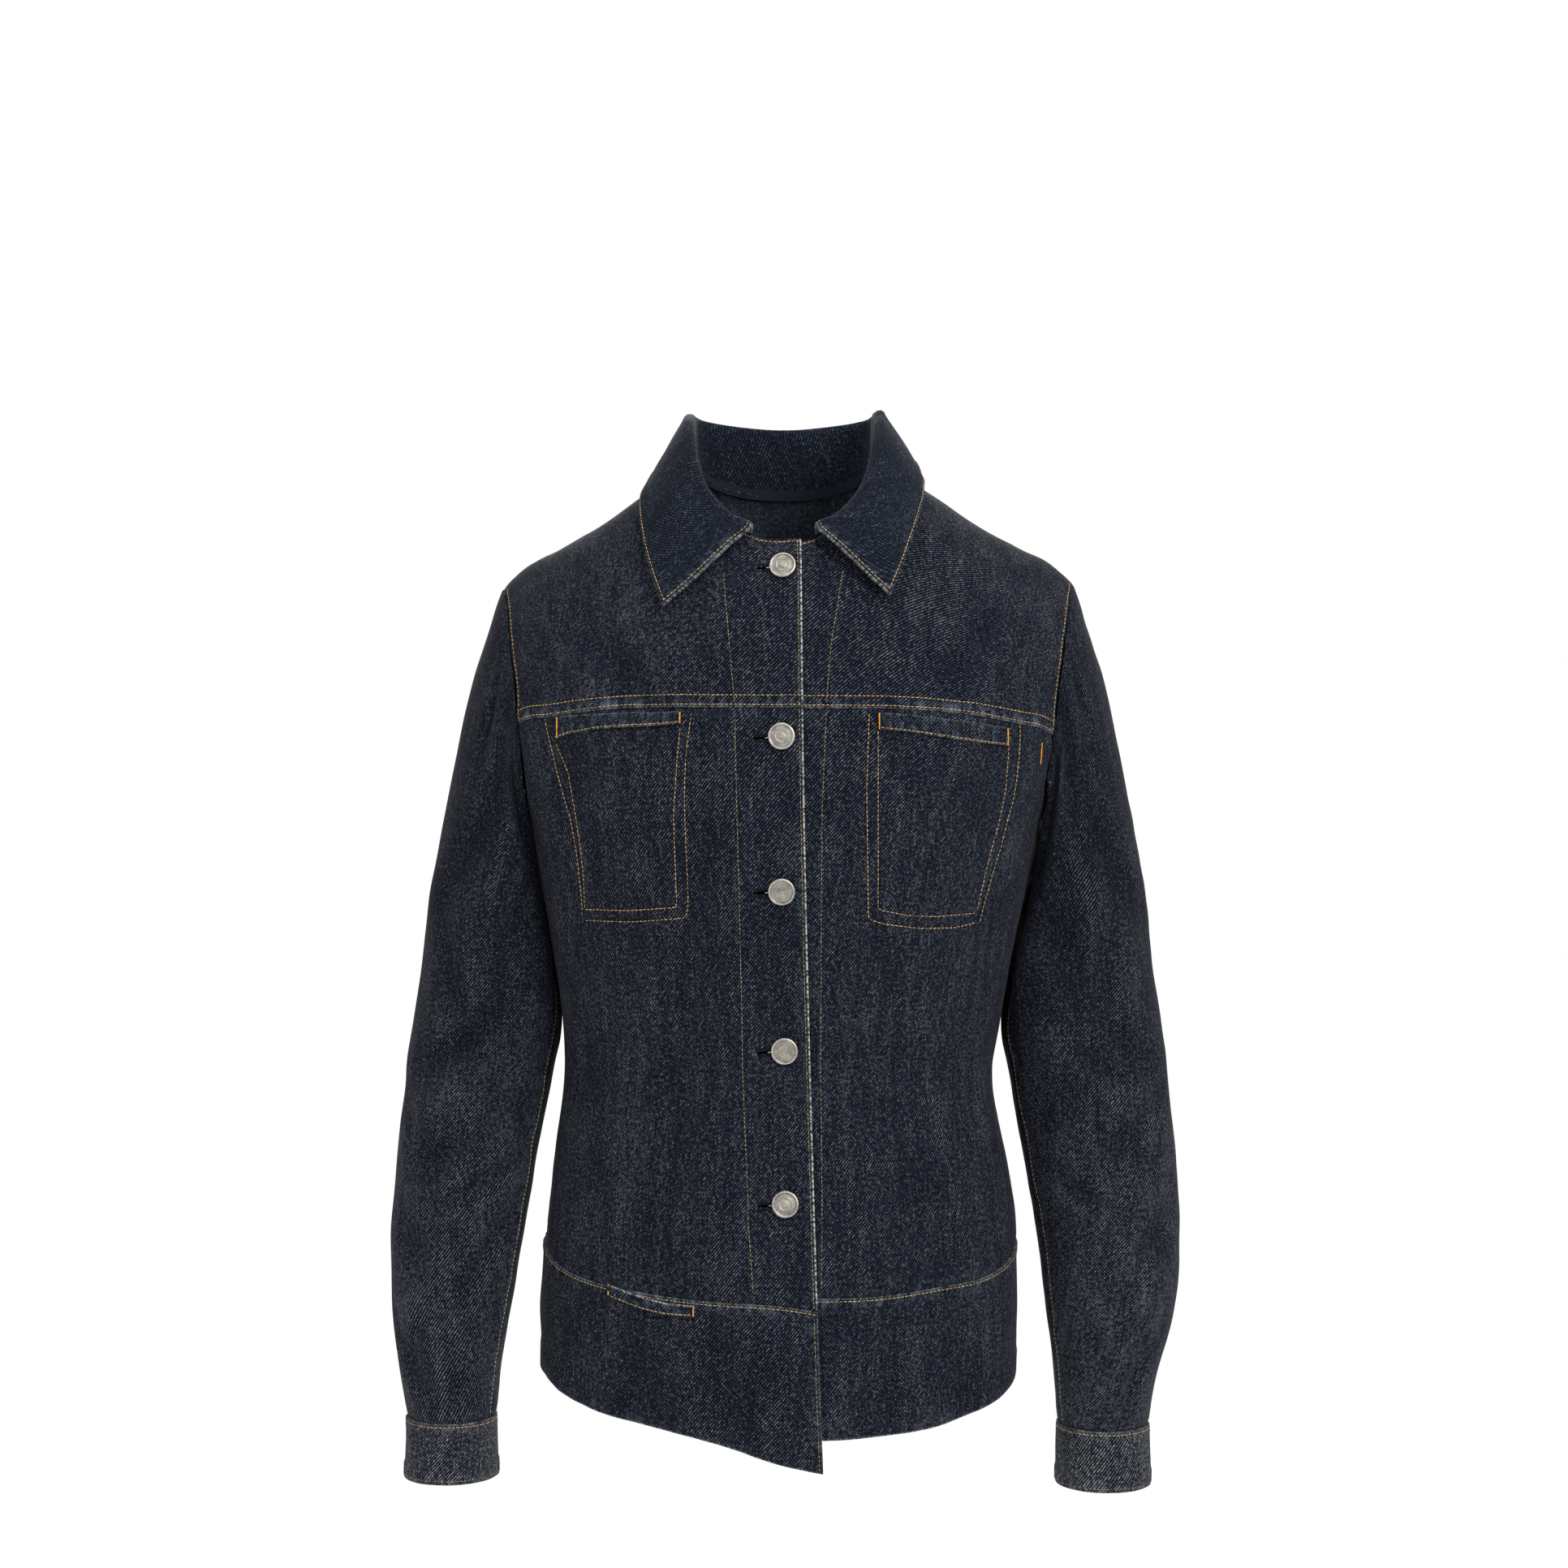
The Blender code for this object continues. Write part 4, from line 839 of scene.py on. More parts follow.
# %% Relief along an edge
EDGES = ("hem", "top", "start", "end")
RELIEF = {
    # how an edge is made: height over it, how far it reaches, rows of thread, pucker height
    "lapped": (0.8 * MM, 9.5 * MM, (1.9 * MM, 7.9 * MM), 0.30 * MM),
    "stitched": (0.7 * MM, 4.5 * MM, (2.2 * MM,), 0.22 * MM),
    "folded": (0.7 * MM, 9.0 * MM, (2.4 * MM,), 0.18 * MM),
    "front": (0.7 * MM, 9.0 * MM, (2.4 * MM,), 0.14 * MM),
    "worn": (0.7 * MM, 9.0 * MM, (2.4 * MM,), 0.20 * MM),
    "turned": (0.6 * MM, 14.0 * MM, (), 0.26 * MM),
    "cuffed": (0.15 * MM, 4.5 * MM, (2.2 * MM,), 0.20 * MM),
    "tucked": (-0.5 * MM, 4.0 * MM, (), 0.22 * MM),
    "plain": (-0.1 * MM, 5.0 * MM, (), 0.16 * MM),
}
# how far each kind of edge has faded: along its puckers, and at its very rim
FADE = {
    "lapped": (0.75, 0.10),
    "stitched": (0.55, 0.10),
    "folded": (0.26, 0.08),
    "front": (0.14, 0.70),
    "worn": (0.40, 0.38),
    "turned": (0.20, 0.16),
    "cuffed": (0.30, 0.10),
    "tucked": (0.14, 0.0),
    "plain": (0.08, 0.0),
}
STEP_DOWN = 2.5 * MM        # over which a raised edge falls back to the cloth
ROUNDING = 1.3 * MM         # over which it turns under, and the share of its height that it loses there
ROUNDED_SHARE = 0.9
TUCK_DEPTH = 0.35 * MM      # by which a plain edge dips into its seam, and over which length
TUCK_WIDTH = 1.2 * MM
GROOVE = 0.32 * MM
GROOVE_WIDTH = 0.9 * MM
PUCKER_PITCH = 9 * MM
PUCKER_STRETCH = 0.35       # a pucker is so much narrower along the seam than across it
PUCKER_REACH = 13 * MM


def relief(distance, place, kind, seed):
    """Height over the surface near one edge, from the distance to it and the place along it."""
    rise, reach, rows, pucker = RELIEF[kind]
    height = rise * (1 - soft_step(distance, reach, reach + STEP_DOWN))
    if rise > 0:
        height = height - rise * ROUNDED_SHARE * (1 - soft_step(distance, 0, ROUNDING))
    else:
        height = height - TUCK_DEPTH * np.exp(-(distance / TUCK_WIDTH) ** 2)
    for row in rows:
        height = height - GROOVE * np.exp(-((distance - row) / GROOVE_WIDTH) ** 2)
    waves = noise(np.stack([place, distance * PUCKER_STRETCH], -1), PUCKER_PITCH, seed)
    return height + pucker * waves * np.exp(-(distance / PUCKER_REACH) ** 2)


print("kinds of edge:", sorted(RELIEF))

# %% [markdown]
# ## A cloth
# Each cloth is closed: an outer sheet, an inner sheet at the wall's thickness and a rim round the edge.
# A solidify modifier would do the same, but working it out keeps the two sheets apart in their own material,
# since the reverse of denim shows its pale weft.

# %% Build a cloth
SHARP_ANGLE = math.radians(55)
cloths = {}


def make_mesh(name, points, faces, materials, face_material=None, values=None, uv=None):
    """Mesh object from whole arrays, smooth, with its attributes and UV map."""
    mesh = bpy.data.meshes.new(name)
    faces = np.asarray(faces)
    sides = faces.shape[1]
    mesh.vertices.add(len(points))
    mesh.vertices.foreach_set("co", np.asarray(points, np.float32).ravel())
    mesh.loops.add(faces.size)
    mesh.loops.foreach_set("vertex_index", faces.astype(np.int32).ravel())
    mesh.polygons.add(len(faces))
    mesh.polygons.foreach_set("loop_start", np.arange(0, faces.size, sides, dtype=np.int32))
    for finish in materials:
        mesh.materials.append(finish)
    if face_material is not None:
        mesh.polygons.foreach_set("material_index", np.asarray(face_material, np.int32))
    if uv is not None:
        layer = mesh.uv_layers.new(name="cloth")
        layer.data.foreach_set("uv", np.asarray(uv, np.float32)[faces.ravel()].ravel())
    for label, value in (values or {}).items():
        kind = "FLOAT" if value.ndim == 1 else "FLOAT_VECTOR"
        key = "value" if value.ndim == 1 else "vector"
        made = mesh.attributes.new(label, kind, "POINT")
        made.data.foreach_set(key, np.asarray(value, np.float32).ravel())
    mesh.update(calc_edges=True)
    mesh.shade_smooth()
    mesh.set_sharp_from_angle(angle=SHARP_ANGLE)
    made = bpy.data.objects.new(name, mesh)
    bpy.context.collection.objects.link(made)
    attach(made, "root")
    return made


def shell_faces(rows, columns):
    """Quads of an outer sheet, an inner sheet and the rim between them."""
    index = np.arange(rows * columns).reshape(rows, columns)
    top = np.stack([index[:-1, :-1], index[:-1, 1:], index[1:, 1:], index[1:, :-1]], -1).reshape(-1, 4)
    loop = np.concatenate([index[0, :-1], index[:-1, -1], index[-1, :0:-1], index[:0:-1, 0]])
    after = np.roll(loop, -1)
    shift = rows * columns
    rim = np.stack([loop, loop + shift, after + shift, after], -1)
    return np.concatenate([top, top[:, ::-1] + shift, rim]), len(top)


# %% Lay a cloth and note its edges
WALL = 1.5 * MM
BAND_WALL = 2.2 * MM
LIE_GAP = 0.4 * MM
SLACK = (0.35 * MM, 42 * MM)        # height of the cloth's slack and the size of its waves
FINE_SLACK = (0.14 * MM, 17 * MM)
EDGE_SHIFT = 3.0                    # metres from one edge to the next, so that no two fade alike
SEAM_EDGE = 0.08 * MM


def cloth(name, points, outward, kinds, finish, seed, thickness=WALL, uv=None, sink=0.0, fold=None):
    """Closed cloth on a grid of points whose rows run up from the hem; kinds names its four edges' make.

    Height over the grid = relief of the four edges + a slack of two soft noises - the sink of its folds.
    fold is the depth of every fold, from which the finish paints shade into its trough and light onto its
    ridges, where the grid itself already holds some of them.
    """
    outward = np.broadcast_to(outward, points.shape)
    normal = grid_normals(points, outward)
    across, up = arc(points, 1), arc(points, 0)
    away = dict(hem=up, top=up[-1:] - up, start=across, end=across[:, -1:] - across)
    along = dict(hem=across, top=across, start=up, end=up)
    height = SLACK[0] * noise(points, SLACK[1], seed)
    height = height + FINE_SLACK[0] * noise(points, FINE_SLACK[1], seed + 1) - sink
    for number, edge in enumerate(EDGES):
        if kinds.get(edge):
            height = height + relief(away[edge], along[edge], kinds[edge], seed + number)
    outer = points + normal * height[..., None]
    inner = outer - normal * thickness
    made = [edge for edge in EDGES if kinds.get(edge)]
    gaps = np.stack([away[edge] for edge in made])
    nearest = np.argmin(gaps, axis=0)
    places = np.stack([along[edge] + EDGE_SHIFT * number for number, edge in enumerate(made)])
    place = np.take_along_axis(places, nearest[None], 0)[0]
    rubbed, rim = np.array([FADE[kinds[edge]] for edge in made])[nearest].transpose(2, 0, 1)
    seam = np.stack([place, gaps.min(axis=0), rubbed], -1).reshape(-1, 3)
    fold = np.broadcast_to(sink if fold is None else fold, rim.shape) / -MM
    values = {"seam": seam, "rim": rim.ravel(), "fold": fold.ravel()}
    values = {label: np.concatenate([value, value]) for label, value in values.items()}
    handed = np.sum(np.cross(points[0, 1] - points[0, 0], points[1, 0] - points[0, 0]) * normal[0, 0])
    uv = np.stack([across * np.sign(handed), up], -1) if uv is None else uv
    rows, columns = outer.shape[:2]
    faces, top = shell_faces(rows, columns)
    reverse = np.zeros(len(faces), int)
    reverse[top:2 * top] = 1
    both_sheets = np.concatenate([outer.reshape(-1, 3), inner.reshape(-1, 3)])
    both_uvs = np.concatenate([uv.reshape(-1, 2)] * 2)
    piece = make_mesh(name, both_sheets, faces, [finish, finishes["reverse"]], reverse, values, both_uvs)
    cell = np.cross(np.diff(outer, axis=1)[:-1], np.diff(outer, axis=0)[:, :-1])
    size = dict(width=float(across[:, -1].max()), length=float(up[-1].max()))
    size["area"] = float(np.linalg.norm(cell, axis=-1).sum())
    cloths[name] = dict(
        piece=piece, points=outer, normal=grid_normals(outer, outward), away=away, along=along, size=size,
    )
    return piece


# %% [markdown]
# ## Denim
# Denim is a twill: each white weft thread passes under three indigo warp threads and over one, and the
# step moves by one thread at each pick, so a fine diagonal climbs to the right. Ring-spun yarn is thick and
# thin, which shows as short vertical slubs. The dye sits on the surface of the yarn, so it wears to pale
# blue wherever the cloth stands proud: along seams, on puckers and at folded edges. A picture of denim
# could be wrapped on, but a woven pattern worked out at its real pitch stays sharp at any distance.

# %% Helpers for finishes
def linear(code):
    """sRGB hex value to linear colour."""
    value = np.array([int(code[k:k + 2], 16) for k in (1, 3, 5)]) / 255
    value = np.where(value <= 0.04045, value / 12.92, ((value + 0.055) / 1.055) ** 2.4)
    return (*value.tolist(), 1.0)


def add(tree, kind, settings=None, **links):
    """Adds a node; settings are its own values, links its sockets: another socket, or a plain value."""
    node = tree.nodes.new("ShaderNode" + kind)
    for key, value in (settings or {}).items():
        setattr(node, key, value)
    for key, value in links.items():
        key = int(key[1:]) if key[0] == "_" and key[1:].isdigit() else key.replace("_", " ")
        if isinstance(value, bpy.types.NodeSocket):
            tree.links.new(value, node.inputs[key])
        else:
            node.inputs[key].default_value = value
    return node


def shader_of(name):
    """New material with its tree and its Principled shader."""
    made = bpy.data.materials.new(name)
    made.use_nodes = True
    return made, made.node_tree, made.node_tree.nodes["Principled BSDF"]


def ramp(tree, factor, stops):
    """Colour ramp through (position, sRGB hex) stops."""
    node = add(tree, "ValToRGB", Fac=factor)
    node.color_ramp.elements[0].position, node.color_ramp.elements[1].position = stops[0][0], stops[-1][0]
    for position, _ in stops[1:-1]:
        node.color_ramp.elements.new(position)
    for element, (_, code) in zip(node.color_ramp.elements, stops):
        element.color = linear(code)
    return node.outputs["Color"]


# %% Denim finish
TWILL_PITCH = 1.6 * MM      # the real pitch is nearer 1 mm; drawn coarser so that it shows
SLUB_WIDTH = 1.3 * MM
SLUB_LENGTH = 8 * MM
SPECK = 2.2 * MM
STREAK = (8 * MM, 45 * MM)
BLOTCH = 48 * MM
# Painted shade and light: a fold's trough is painted darker and its ridges paler, by their depth
FOLD_PAINTED_SHADE = 0.005           # tone that a ridge gains for each millimetre of its height
ROPE_PITCH = 5.5 * MM       # of the puckers that fade along a seam
TWIST_PITCH = 1.8 * MM      # of the broken fading at an edge
TWILL_TURN = math.radians(40)
ROPE_TURN = math.radians(24)
WAVE_PERIOD = 0.314159      # of Blender's wave texture at scale 1
LINE = 0.15                 # how far the twill's diagonal shows
# Heights over which a sleeve is painted paler towards the wrist: painted light on the forearms
WRIST_PAINTED_LIGHT = (-0.25, -0.55)


def weighted(tree, parts):
    """Sum of sockets, each times its weight."""
    total = 0.0
    for socket, weight in parts:
        total = add(tree, "Math", {"operation": "MULTIPLY_ADD"}, _0=socket, _1=weight, _2=total).outputs[0]
    return total


def stepped(tree, value, start, end, low=0.0, high=1.0):
    """Smooth step of a socket between two values."""
    step = add(tree, "MapRange", {"interpolation_type": "SMOOTHSTEP"}, Value=value, From_Min=start,
               From_Max=end, To_Min=low, To_Max=high)
    return step.outputs[0]


def times(tree, first, second):
    """Product of two sockets."""
    return add(tree, "Math", {"operation": "MULTIPLY", "use_clamp": True}, _0=first, _1=second).outputs[0]


def denim(name, stops, faded, rim_colour, line=LINE, wrist_light=0.0):
    """Cotton twill: indigo warp, pale weft in the twill's steps, slubs along the warp, wear at the seams.

    stops is the colour ramp from the darkest thread to the palest, line is how far the twill's diagonal
    shows, and the wrist setting is how much paler the cloth gets towards the wrist: painted light on the
    forearms. The cloth's own attributes say where it is worn: seam holds the place along the nearest edge,
    the distance to it and how far it fades, and rim how far its very edge fades. The fold attribute holds
    the depth of the folds, from which troughs get painted shade and ridges painted light.
    """
    made, tree, shader = shader_of(name)
    flat = add(tree, "UVMap", {"uv_map": "cloth"}).outputs["UV"]
    turned = add(tree, "Mapping", Vector=flat, Rotation=(0, 0, TWILL_TURN)).outputs[0]
    twill = add(tree, "TexWave", {"wave_profile": "SIN"}, Vector=turned, Scale=WAVE_PERIOD / TWILL_PITCH,
                Distortion=1.2, Detail=2.0, Detail_Scale=1.2).outputs["Fac"]
    drawn = add(tree, "Mapping", Vector=flat, Scale=(1 / SLUB_WIDTH, 1 / SLUB_LENGTH, 1)).outputs[0]
    slub = add(tree, "TexNoise", Vector=drawn, Scale=1.0, Detail=3.0, Roughness=0.65).outputs["Fac"]
    speck = add(tree, "TexNoise", Vector=flat, Scale=1 / SPECK, Detail=3.0, Roughness=0.85).outputs["Fac"]
    long = add(tree, "Mapping", Vector=flat, Scale=(1 / STREAK[0], 1 / STREAK[1], 1)).outputs[0]
    streak = add(tree, "TexNoise", Vector=long, Scale=1.0, Detail=3.0).outputs["Fac"]
    blotch = add(tree, "TexNoise", Vector=flat, Scale=1 / BLOTCH, Detail=2.0).outputs["Fac"]
    fold = add(tree, "Attribute", {"attribute_name": "fold"}).outputs["Fac"]
    # Painted shade in the fold troughs and painted light on their ridges, from the fold attribute
    tone = weighted(tree, (
        (twill, line), (slub, 0.20), (speck, 0.50), (streak, 0.10), (blotch, 0.05), (fold, FOLD_PAINTED_SHADE),
    ))
    # Painted light: the cloth gets paler towards the wrist, by height
    level = add(tree, "SeparateXYZ", Vector=add(tree, "TexCoord").outputs["Object"]).outputs["Z"]
    tone = weighted(tree, ((tone, 1.0), (stepped(tree, level, *WRIST_PAINTED_LIGHT), wrist_light)))
    colour = ramp(tree, tone, tuple((place + (line - LINE) / 2, code) for place, code in stops))

    seam = add(tree, "Attribute", {"attribute_name": "seam"}).outputs["Vector"]
    rim = add(tree, "Attribute", {"attribute_name": "rim"}).outputs["Fac"]
    parts = add(tree, "SeparateXYZ", Vector=seam).outputs
    ropes = []
    for pitch in (ROPE_PITCH, TWIST_PITCH):
        roped = add(tree, "Mapping", Vector=seam, Scale=(1 / pitch, PUCKER_STRETCH / pitch, 0),
                    Rotation=(0, 0, ROPE_TURN)).outputs[0]
        noise = add(tree, "TexNoise", Vector=roped, Scale=1.0, Detail=2.5, Roughness=0.55)
        ropes.append(noise.outputs["Fac"])
    near = stepped(tree, parts["Y"], 9.0 * MM, 1.5 * MM)
    grain = stepped(tree, tone, 0.40, 0.62, 0.3, 1.0)
    puckers = times(tree, times(tree, near, stepped(tree, ropes[0], 0.44, 0.66)), parts["Z"])
    broken = stepped(tree, ropes[1], 0.42, 0.60, 0.08, 1.0)
    edge = times(tree, stepped(tree, parts["Y"], 1.5 * MM, 0.1 * MM), broken)
    for amount, code in ((times(tree, puckers, grain), faded), (times(tree, edge, rim), rim_colour)):
        mixed = add(tree, "Mix", {"data_type": "RGBA"}, Factor=amount)
        tree.links.new(colour, mixed.inputs["A"])
        mixed.inputs["B"].default_value = linear(code)
        colour = mixed.outputs["Result"]
    tree.links.new(colour, shader.inputs["Base Color"])
    weave = add(tree, "Bump", Strength=0.35, Distance=0.3 * MM, Height=tone)
    pulled = add(tree, "Bump", Strength=0.6, Distance=1.6 * MM, Height=times(tree, ropes[0], near),
                 Normal=weave.outputs[0])
    tree.links.new(pulled.outputs[0], shader.inputs["Normal"])
    shader.inputs["Roughness"].default_value = 0.9
    shader.inputs["Sheen Weight"].default_value = 0.01
    shader.inputs["Specular IOR Level"].default_value = 0.05
    return made


DENIMS = {
    # material, stops from the darkest thread to the palest, faded pucker, faded rim, twill line, painted
    # light towards the wrist
    "body": ("indigo_twill_body", (
        (0.40, "#010204"), (0.482, "#03050c"), (0.558, "#101522"), (0.642, "#4b4b49"),
    ), "#424c59", "#a7a8a3"),
    # The sleeve ramp is greyer than the body's, and darker: that darkness is painted shade of the arms
    "sleeve": ("indigo_twill_sleeve", (
        (0.40, "#010204"), (0.482, "#03040a"), (0.560, "#0c111c"), (0.645, "#414346"),
    ), "#3c444e", "#8f9291", LINE, 0.03),
    "cuff": ("indigo_twill_cuff", (
        (0.39, "#020307"), (0.47, "#0a0c14"), (0.548, "#1d212c"), (0.64, "#68675f"),
    ), "#5a626c", "#8f9291"),
    "collar": ("indigo_twill_collar", (
        (0.37, "#010205"), (0.47, "#03060c"), (0.56, "#10151f"), (0.66, "#42454b"),
    ), "#4a5462", "#8b8c88", 0.10),
    "reverse": ("denim_reverse", (
        (0.37, "#080b10"), (0.47, "#161b22"), (0.56, "#2d343d"), (0.66, "#5b6168"),
    ), "#6a7480", "#8f9291"),
}
finishes = {part: denim(*look) for part, look in DENIMS.items()}
print("finishes:", sorted(finishes))

# %% [markdown]
# ## The body
# Eight front pieces, a back panel and a back band make the body. Each is laid from its patch, and its edges
# are named by how they are sewn: the yoke laps over the panels below it with two rows of thread, the front
# edge is folded, and the panels tuck under the yoke and the band.

# %% Creases of the body
# Finer creases than the solids carry, as the same soft troughs
FRONT_CREASES = np.array([
    # across, height, half-length, half-width, turn in degrees, depth
    (-150, -190, 30, 6, -20, 1.3),
    (-140, -240, 34, 6, -8, 1.2),
    (148, -205, 34, 6, 18, 1.3),
    (140, -250, 34, 6, 6, 1.1),
    (-105, -95, 40, 8, -50, 1.2),
    (108, -95, 40, 8, 50, 1.2),
    (-60, -120, 38, 8, -38, 0.9),
    (70, -118, 38, 8, 36, 0.9),
    (-50, -225, 60, 8, 3, 0.8),
    (45, -235, 60, 8, -3, 0.8),
    (-95, -300, 50, 8, 8, 1.0),
    (95, -310, 50, 8, -8, 1.0),
    (-118, -400, 60, 9, 5, 1.3),
    (112, -405, 60, 9, -5, 1.3),
    (-40, -430, 55, 9, -4, 0.9),
    (48, -420, 55, 9, 4, 0.9),
    (-88, -500, 40, 8, 8, 1.1),
    (100, -505, 40, 8, -8, 1.1),
    (-20, -570, 30, 7, 5, 0.9),
    (-100, -575, 26, 7, 4, 1.0),
    (40, -580, 28, 7, -5, 0.9),
    (90, -585, 26, 7, 6, 1.0),
]) * ACROSS_UNITS
BACK_CREASES = np.array([
    (-120, -170, 60, 10, 30, 1.6),
    (118, -176, 60, 10, -30, 1.6),
    (-60, -120, 45, 10, 55, 1.0),
    (64, -124, 45, 10, -55, 1.0),
    (-30, -330, 80, 12, 4, 1.2),
    (36, -350, 80, 12, -5, 1.2),
    (-90, -400, 60, 10, -10, 1.6),
    (92, -410, 60, 10, 12, 1.6),
    (-12, -460, 40, 10, 80, 1.2),
    (15, -430, 40, 10, 96, 1.0),
    (-60, -560, 34, 8, 5, 1.1),
    (30, -560, 34, 8, -4, 1.1),
    (95, -560, 34, 8, 6, 1.1),
]) * ACROSS_UNITS

# %% Lay the body panels
GRAIN_RADIUS = 155 * MM
BODY_KINDS = {
    "front_yoke": dict(hem="lapped", top="plain", start="front", end="plain"),
    "front_panel": dict(hem="tucked", top="tucked", start="front", end="plain"),
    "side_front": dict(hem="tucked", top="tucked", start="plain", end="plain"),
    "band_front": dict(hem="turned", top="stitched", start="folded", end="plain"),
    "back_panel": dict(hem="tucked", top="plain", start="plain", end="plain"),
    "band_back": dict(hem="turned", top="stitched", start="plain", end="plain"),
}


def lay_body(name, domain, laps, kinds, seed, thickness):
    """Refines a panel's (angle, level) patch on the graded grid and lays it as cloth."""
    rough, _ = body_grid(domain, laps)
    rows = graded(rough[:, len(rough[0]) // 2])
    columns = graded(rough[len(rough) // 2])
    columns[[0, -1]] += SEAM_EDGE / np.linalg.norm(rough[0, [1, -2]] - rough[0, [0, -1]], axis=-1) * (1, -1)
    rows[[0, -1]] += SEAM_EDGE / np.linalg.norm(rough[[1, -2], 0] - rough[[0, -1], 0], axis=-1) * (1, -1)
    fine = refine(domain, rows, columns)
    fine[..., 1] = np.minimum(fine[..., 1], SHOULDER_RISE)
    grid, normal = body_grid(fine, laps)
    x, z = grid[..., 0], grid[..., 2]
    front = np.cos(fine[..., 0]) > 0
    sink = np.where(front, troughs(x, z, FRONT_CREASES), troughs(x, z, BACK_CREASES))
    fold = sink + troughs(x, z, BODY_FOLDS) * front
    uv = np.stack([fine[..., 0] * GRAIN_RADIUS, fine[..., 1]], -1)
    made = cloth(f"cloth_{name}", grid, normal, kinds, finishes["body"], seed, thickness, uv, sink, fold)
    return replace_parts(made, name)


seed = 10
for label, side in SIDES.items():
    for panel, domain in front_domains(side).items():
        seed += 10              # a cloth draws its noises from its seed and the three after it
        wall = BAND_WALL if panel.startswith("band") else WALL
        lay_body(f"{panel}_{label}", domain, side == RIGHT, BODY_KINDS[panel], seed, wall)
for panel, domain in back_domains().items():
    seed += 10
    lay_body(panel, domain, False, BODY_KINDS[panel], seed, BAND_WALL if panel == "band_back" else WALL)
print("body cloths:", len(cloths), "vertices:", sum(made["points"][..., 0].size for made in cloths.values()))

# %% [markdown]
# A narrow tape lies inside each shoulder seam, as a maker sews one in to keep the seam from stretching. Here
# it is a strip of three rows under the yoke's upper edge, and it closes the fine gap between the panels, so
# that no light falls through the shoulder. The neck seam gets one too, once the collar is laid.

# %% Tape the shoulder seams
TAPE_ROWS = np.array((-3.0, 0.0, 3.0))[:, None, None] * MM
TAPE_DEPTH = WALL + 0.3 * MM
TAPE_WALL = 0.5 * MM


def lay_tape(name, edge, across, lean, depth):
    """Strip of cloth whose rows lie beside an edge, so far below the side that lean points to."""
    tape = np.stack([edge + across - lean * level for level in (depth, depth + TAPE_WALL)])
    faces, _ = shell_faces(*tape.shape[1:3])
    handed = np.sum(np.cross(tape[0, 0, 1] - tape[0, 0, 0], tape[0, 1, 0] - tape[0, 0, 0]) * lean[0])
    faces = faces if handed > 0 else faces[:, ::-1]
    make_mesh(name, tape.reshape(-1, 3), faces, [finishes["reverse"]])
    print(name, "columns:", tape.shape[2])


for label in SIDES:
    yoke = cloths[f"cloth_front_yoke_{label}"]
    shoulder = np.flatnonzero(yoke["points"][-1, :, 1] > 0)[1:-2]
    lay_tape(f"tape_{label}", yoke["points"][-1, shoulder], TAPE_ROWS * (0, 1.0, 0),
             yoke["normal"][-1, shoulder], TAPE_DEPTH)

# %% [markdown]
# ## Sleeves
# A jacket sleeve is cut in two pieces, a wide top sleeve and a narrower under sleeve, and set into the
# armhole with a little fullness at its head. Below the biceps it is a row of ellipses; above, each thread
# of its length leaves the armhole in one direction and reaches the biceps in another, which a cubic between
# the two gives at once. Where it would meet the body it is moved out, because cloth rests on cloth.

# %% Clearance from the body
BODY_SAMPLES = 260
NEAR_CHUNK = 400
sample_angles, sample_levels = np.meshgrid(
    np.linspace(-math.pi, math.pi, BODY_SAMPLES),
    np.linspace(HEM[0, 1] - ARMPIT_Z, SHOULDER_RISE, BODY_SAMPLES),
)
body_normals = body_normal(sample_angles, sample_levels)
body_points = body(sample_angles, sample_levels)
lapping = np.where(np.cos(sample_angles) > 0, lap_lift(body_points[..., 0]), 0)
body_points = (body_points + body_normals * lapping[..., None]).reshape(-1, 3)
body_normals = body_normals.reshape(-1, 3)


def clear_of_body(points, clearance):
    """Moves points out along the nearest body sample's normal until they stand clear by the distance."""
    flat = points.reshape(-1, 3)
    need = np.broadcast_to(clearance, points.shape[:-1]).reshape(-1)
    nearest = [
        np.argmin(np.sum(body_points ** 2, -1) - 2 * flat[k:k + NEAR_CHUNK] @ body_points.T, axis=1)
        for k in range(0, len(flat), NEAR_CHUNK)
    ]
    nearest = np.concatenate(nearest)
    gap = np.sum((flat - body_points[nearest]) * body_normals[nearest], -1)
    moved = flat + body_normals[nearest] * np.maximum(need - gap, 0)[:, None]
    return moved.reshape(points.shape)


# %% Sleeve surface
HEAD_ROWS = 14
ARM_ROWS = 24
SLEEVE_EASE = 3.0 * MM      # fullness on the outer side, and the depths at which it comes and goes
EASE_START = (100 * MM, 150 * MM)
EASE_END = (270 * MM, 350 * MM)


def armhole_loop(side):
    """Armhole samples from the back sleeve seam over the tip and the front to the back seam again."""
    below, above, back = armhole_shares(side)
    front_low, front_high = armhole(below, side), armhole(above, side)
    rear = armhole(back, side, back=True)
    points = np.concatenate([
        rear[BACK_SEAM_SAMPLE:], front_high[::-1][1:], front_low[::-1][1:], rear[1:BACK_SEAM_SAMPLE + 1],
    ])
    tip = BACK_ARM_CELLS - BACK_SEAM_SAMPLE
    yoke = tip + YOKE_ARM_CELLS
    front_seam = yoke + SIDE_ARM_CELLS - FRONT_SEAM_SAMPLE
    last = len(points) - 1
    marks = [0, tip, yoke, front_seam, yoke + SIDE_ARM_CELLS, last]
    angles = list(RING_ANGLES.values()) + [RING_ANGLES["back seam"] + 360]
    return points, np.radians(np.interp(np.arange(last + 1), marks, angles)), front_seam


def sleeve_ring(side, ring_angle, height):
    """Ellipse of the sleeve at a height; ring angle 0 is the outer side and 90 degrees the front."""
    table = SLEEVE_RINGS[side]
    outer, inner, half_depth, centre_y = (through(height, table[:, 0], table[:, k]) for k in range(1, 5))
    x = side * ((outer + inner) / 2 + (outer - inner) / 2 * np.cos(ring_angle))
    return np.stack(np.broadcast_arrays(x, centre_y - half_depth * np.sin(ring_angle), height), -1)


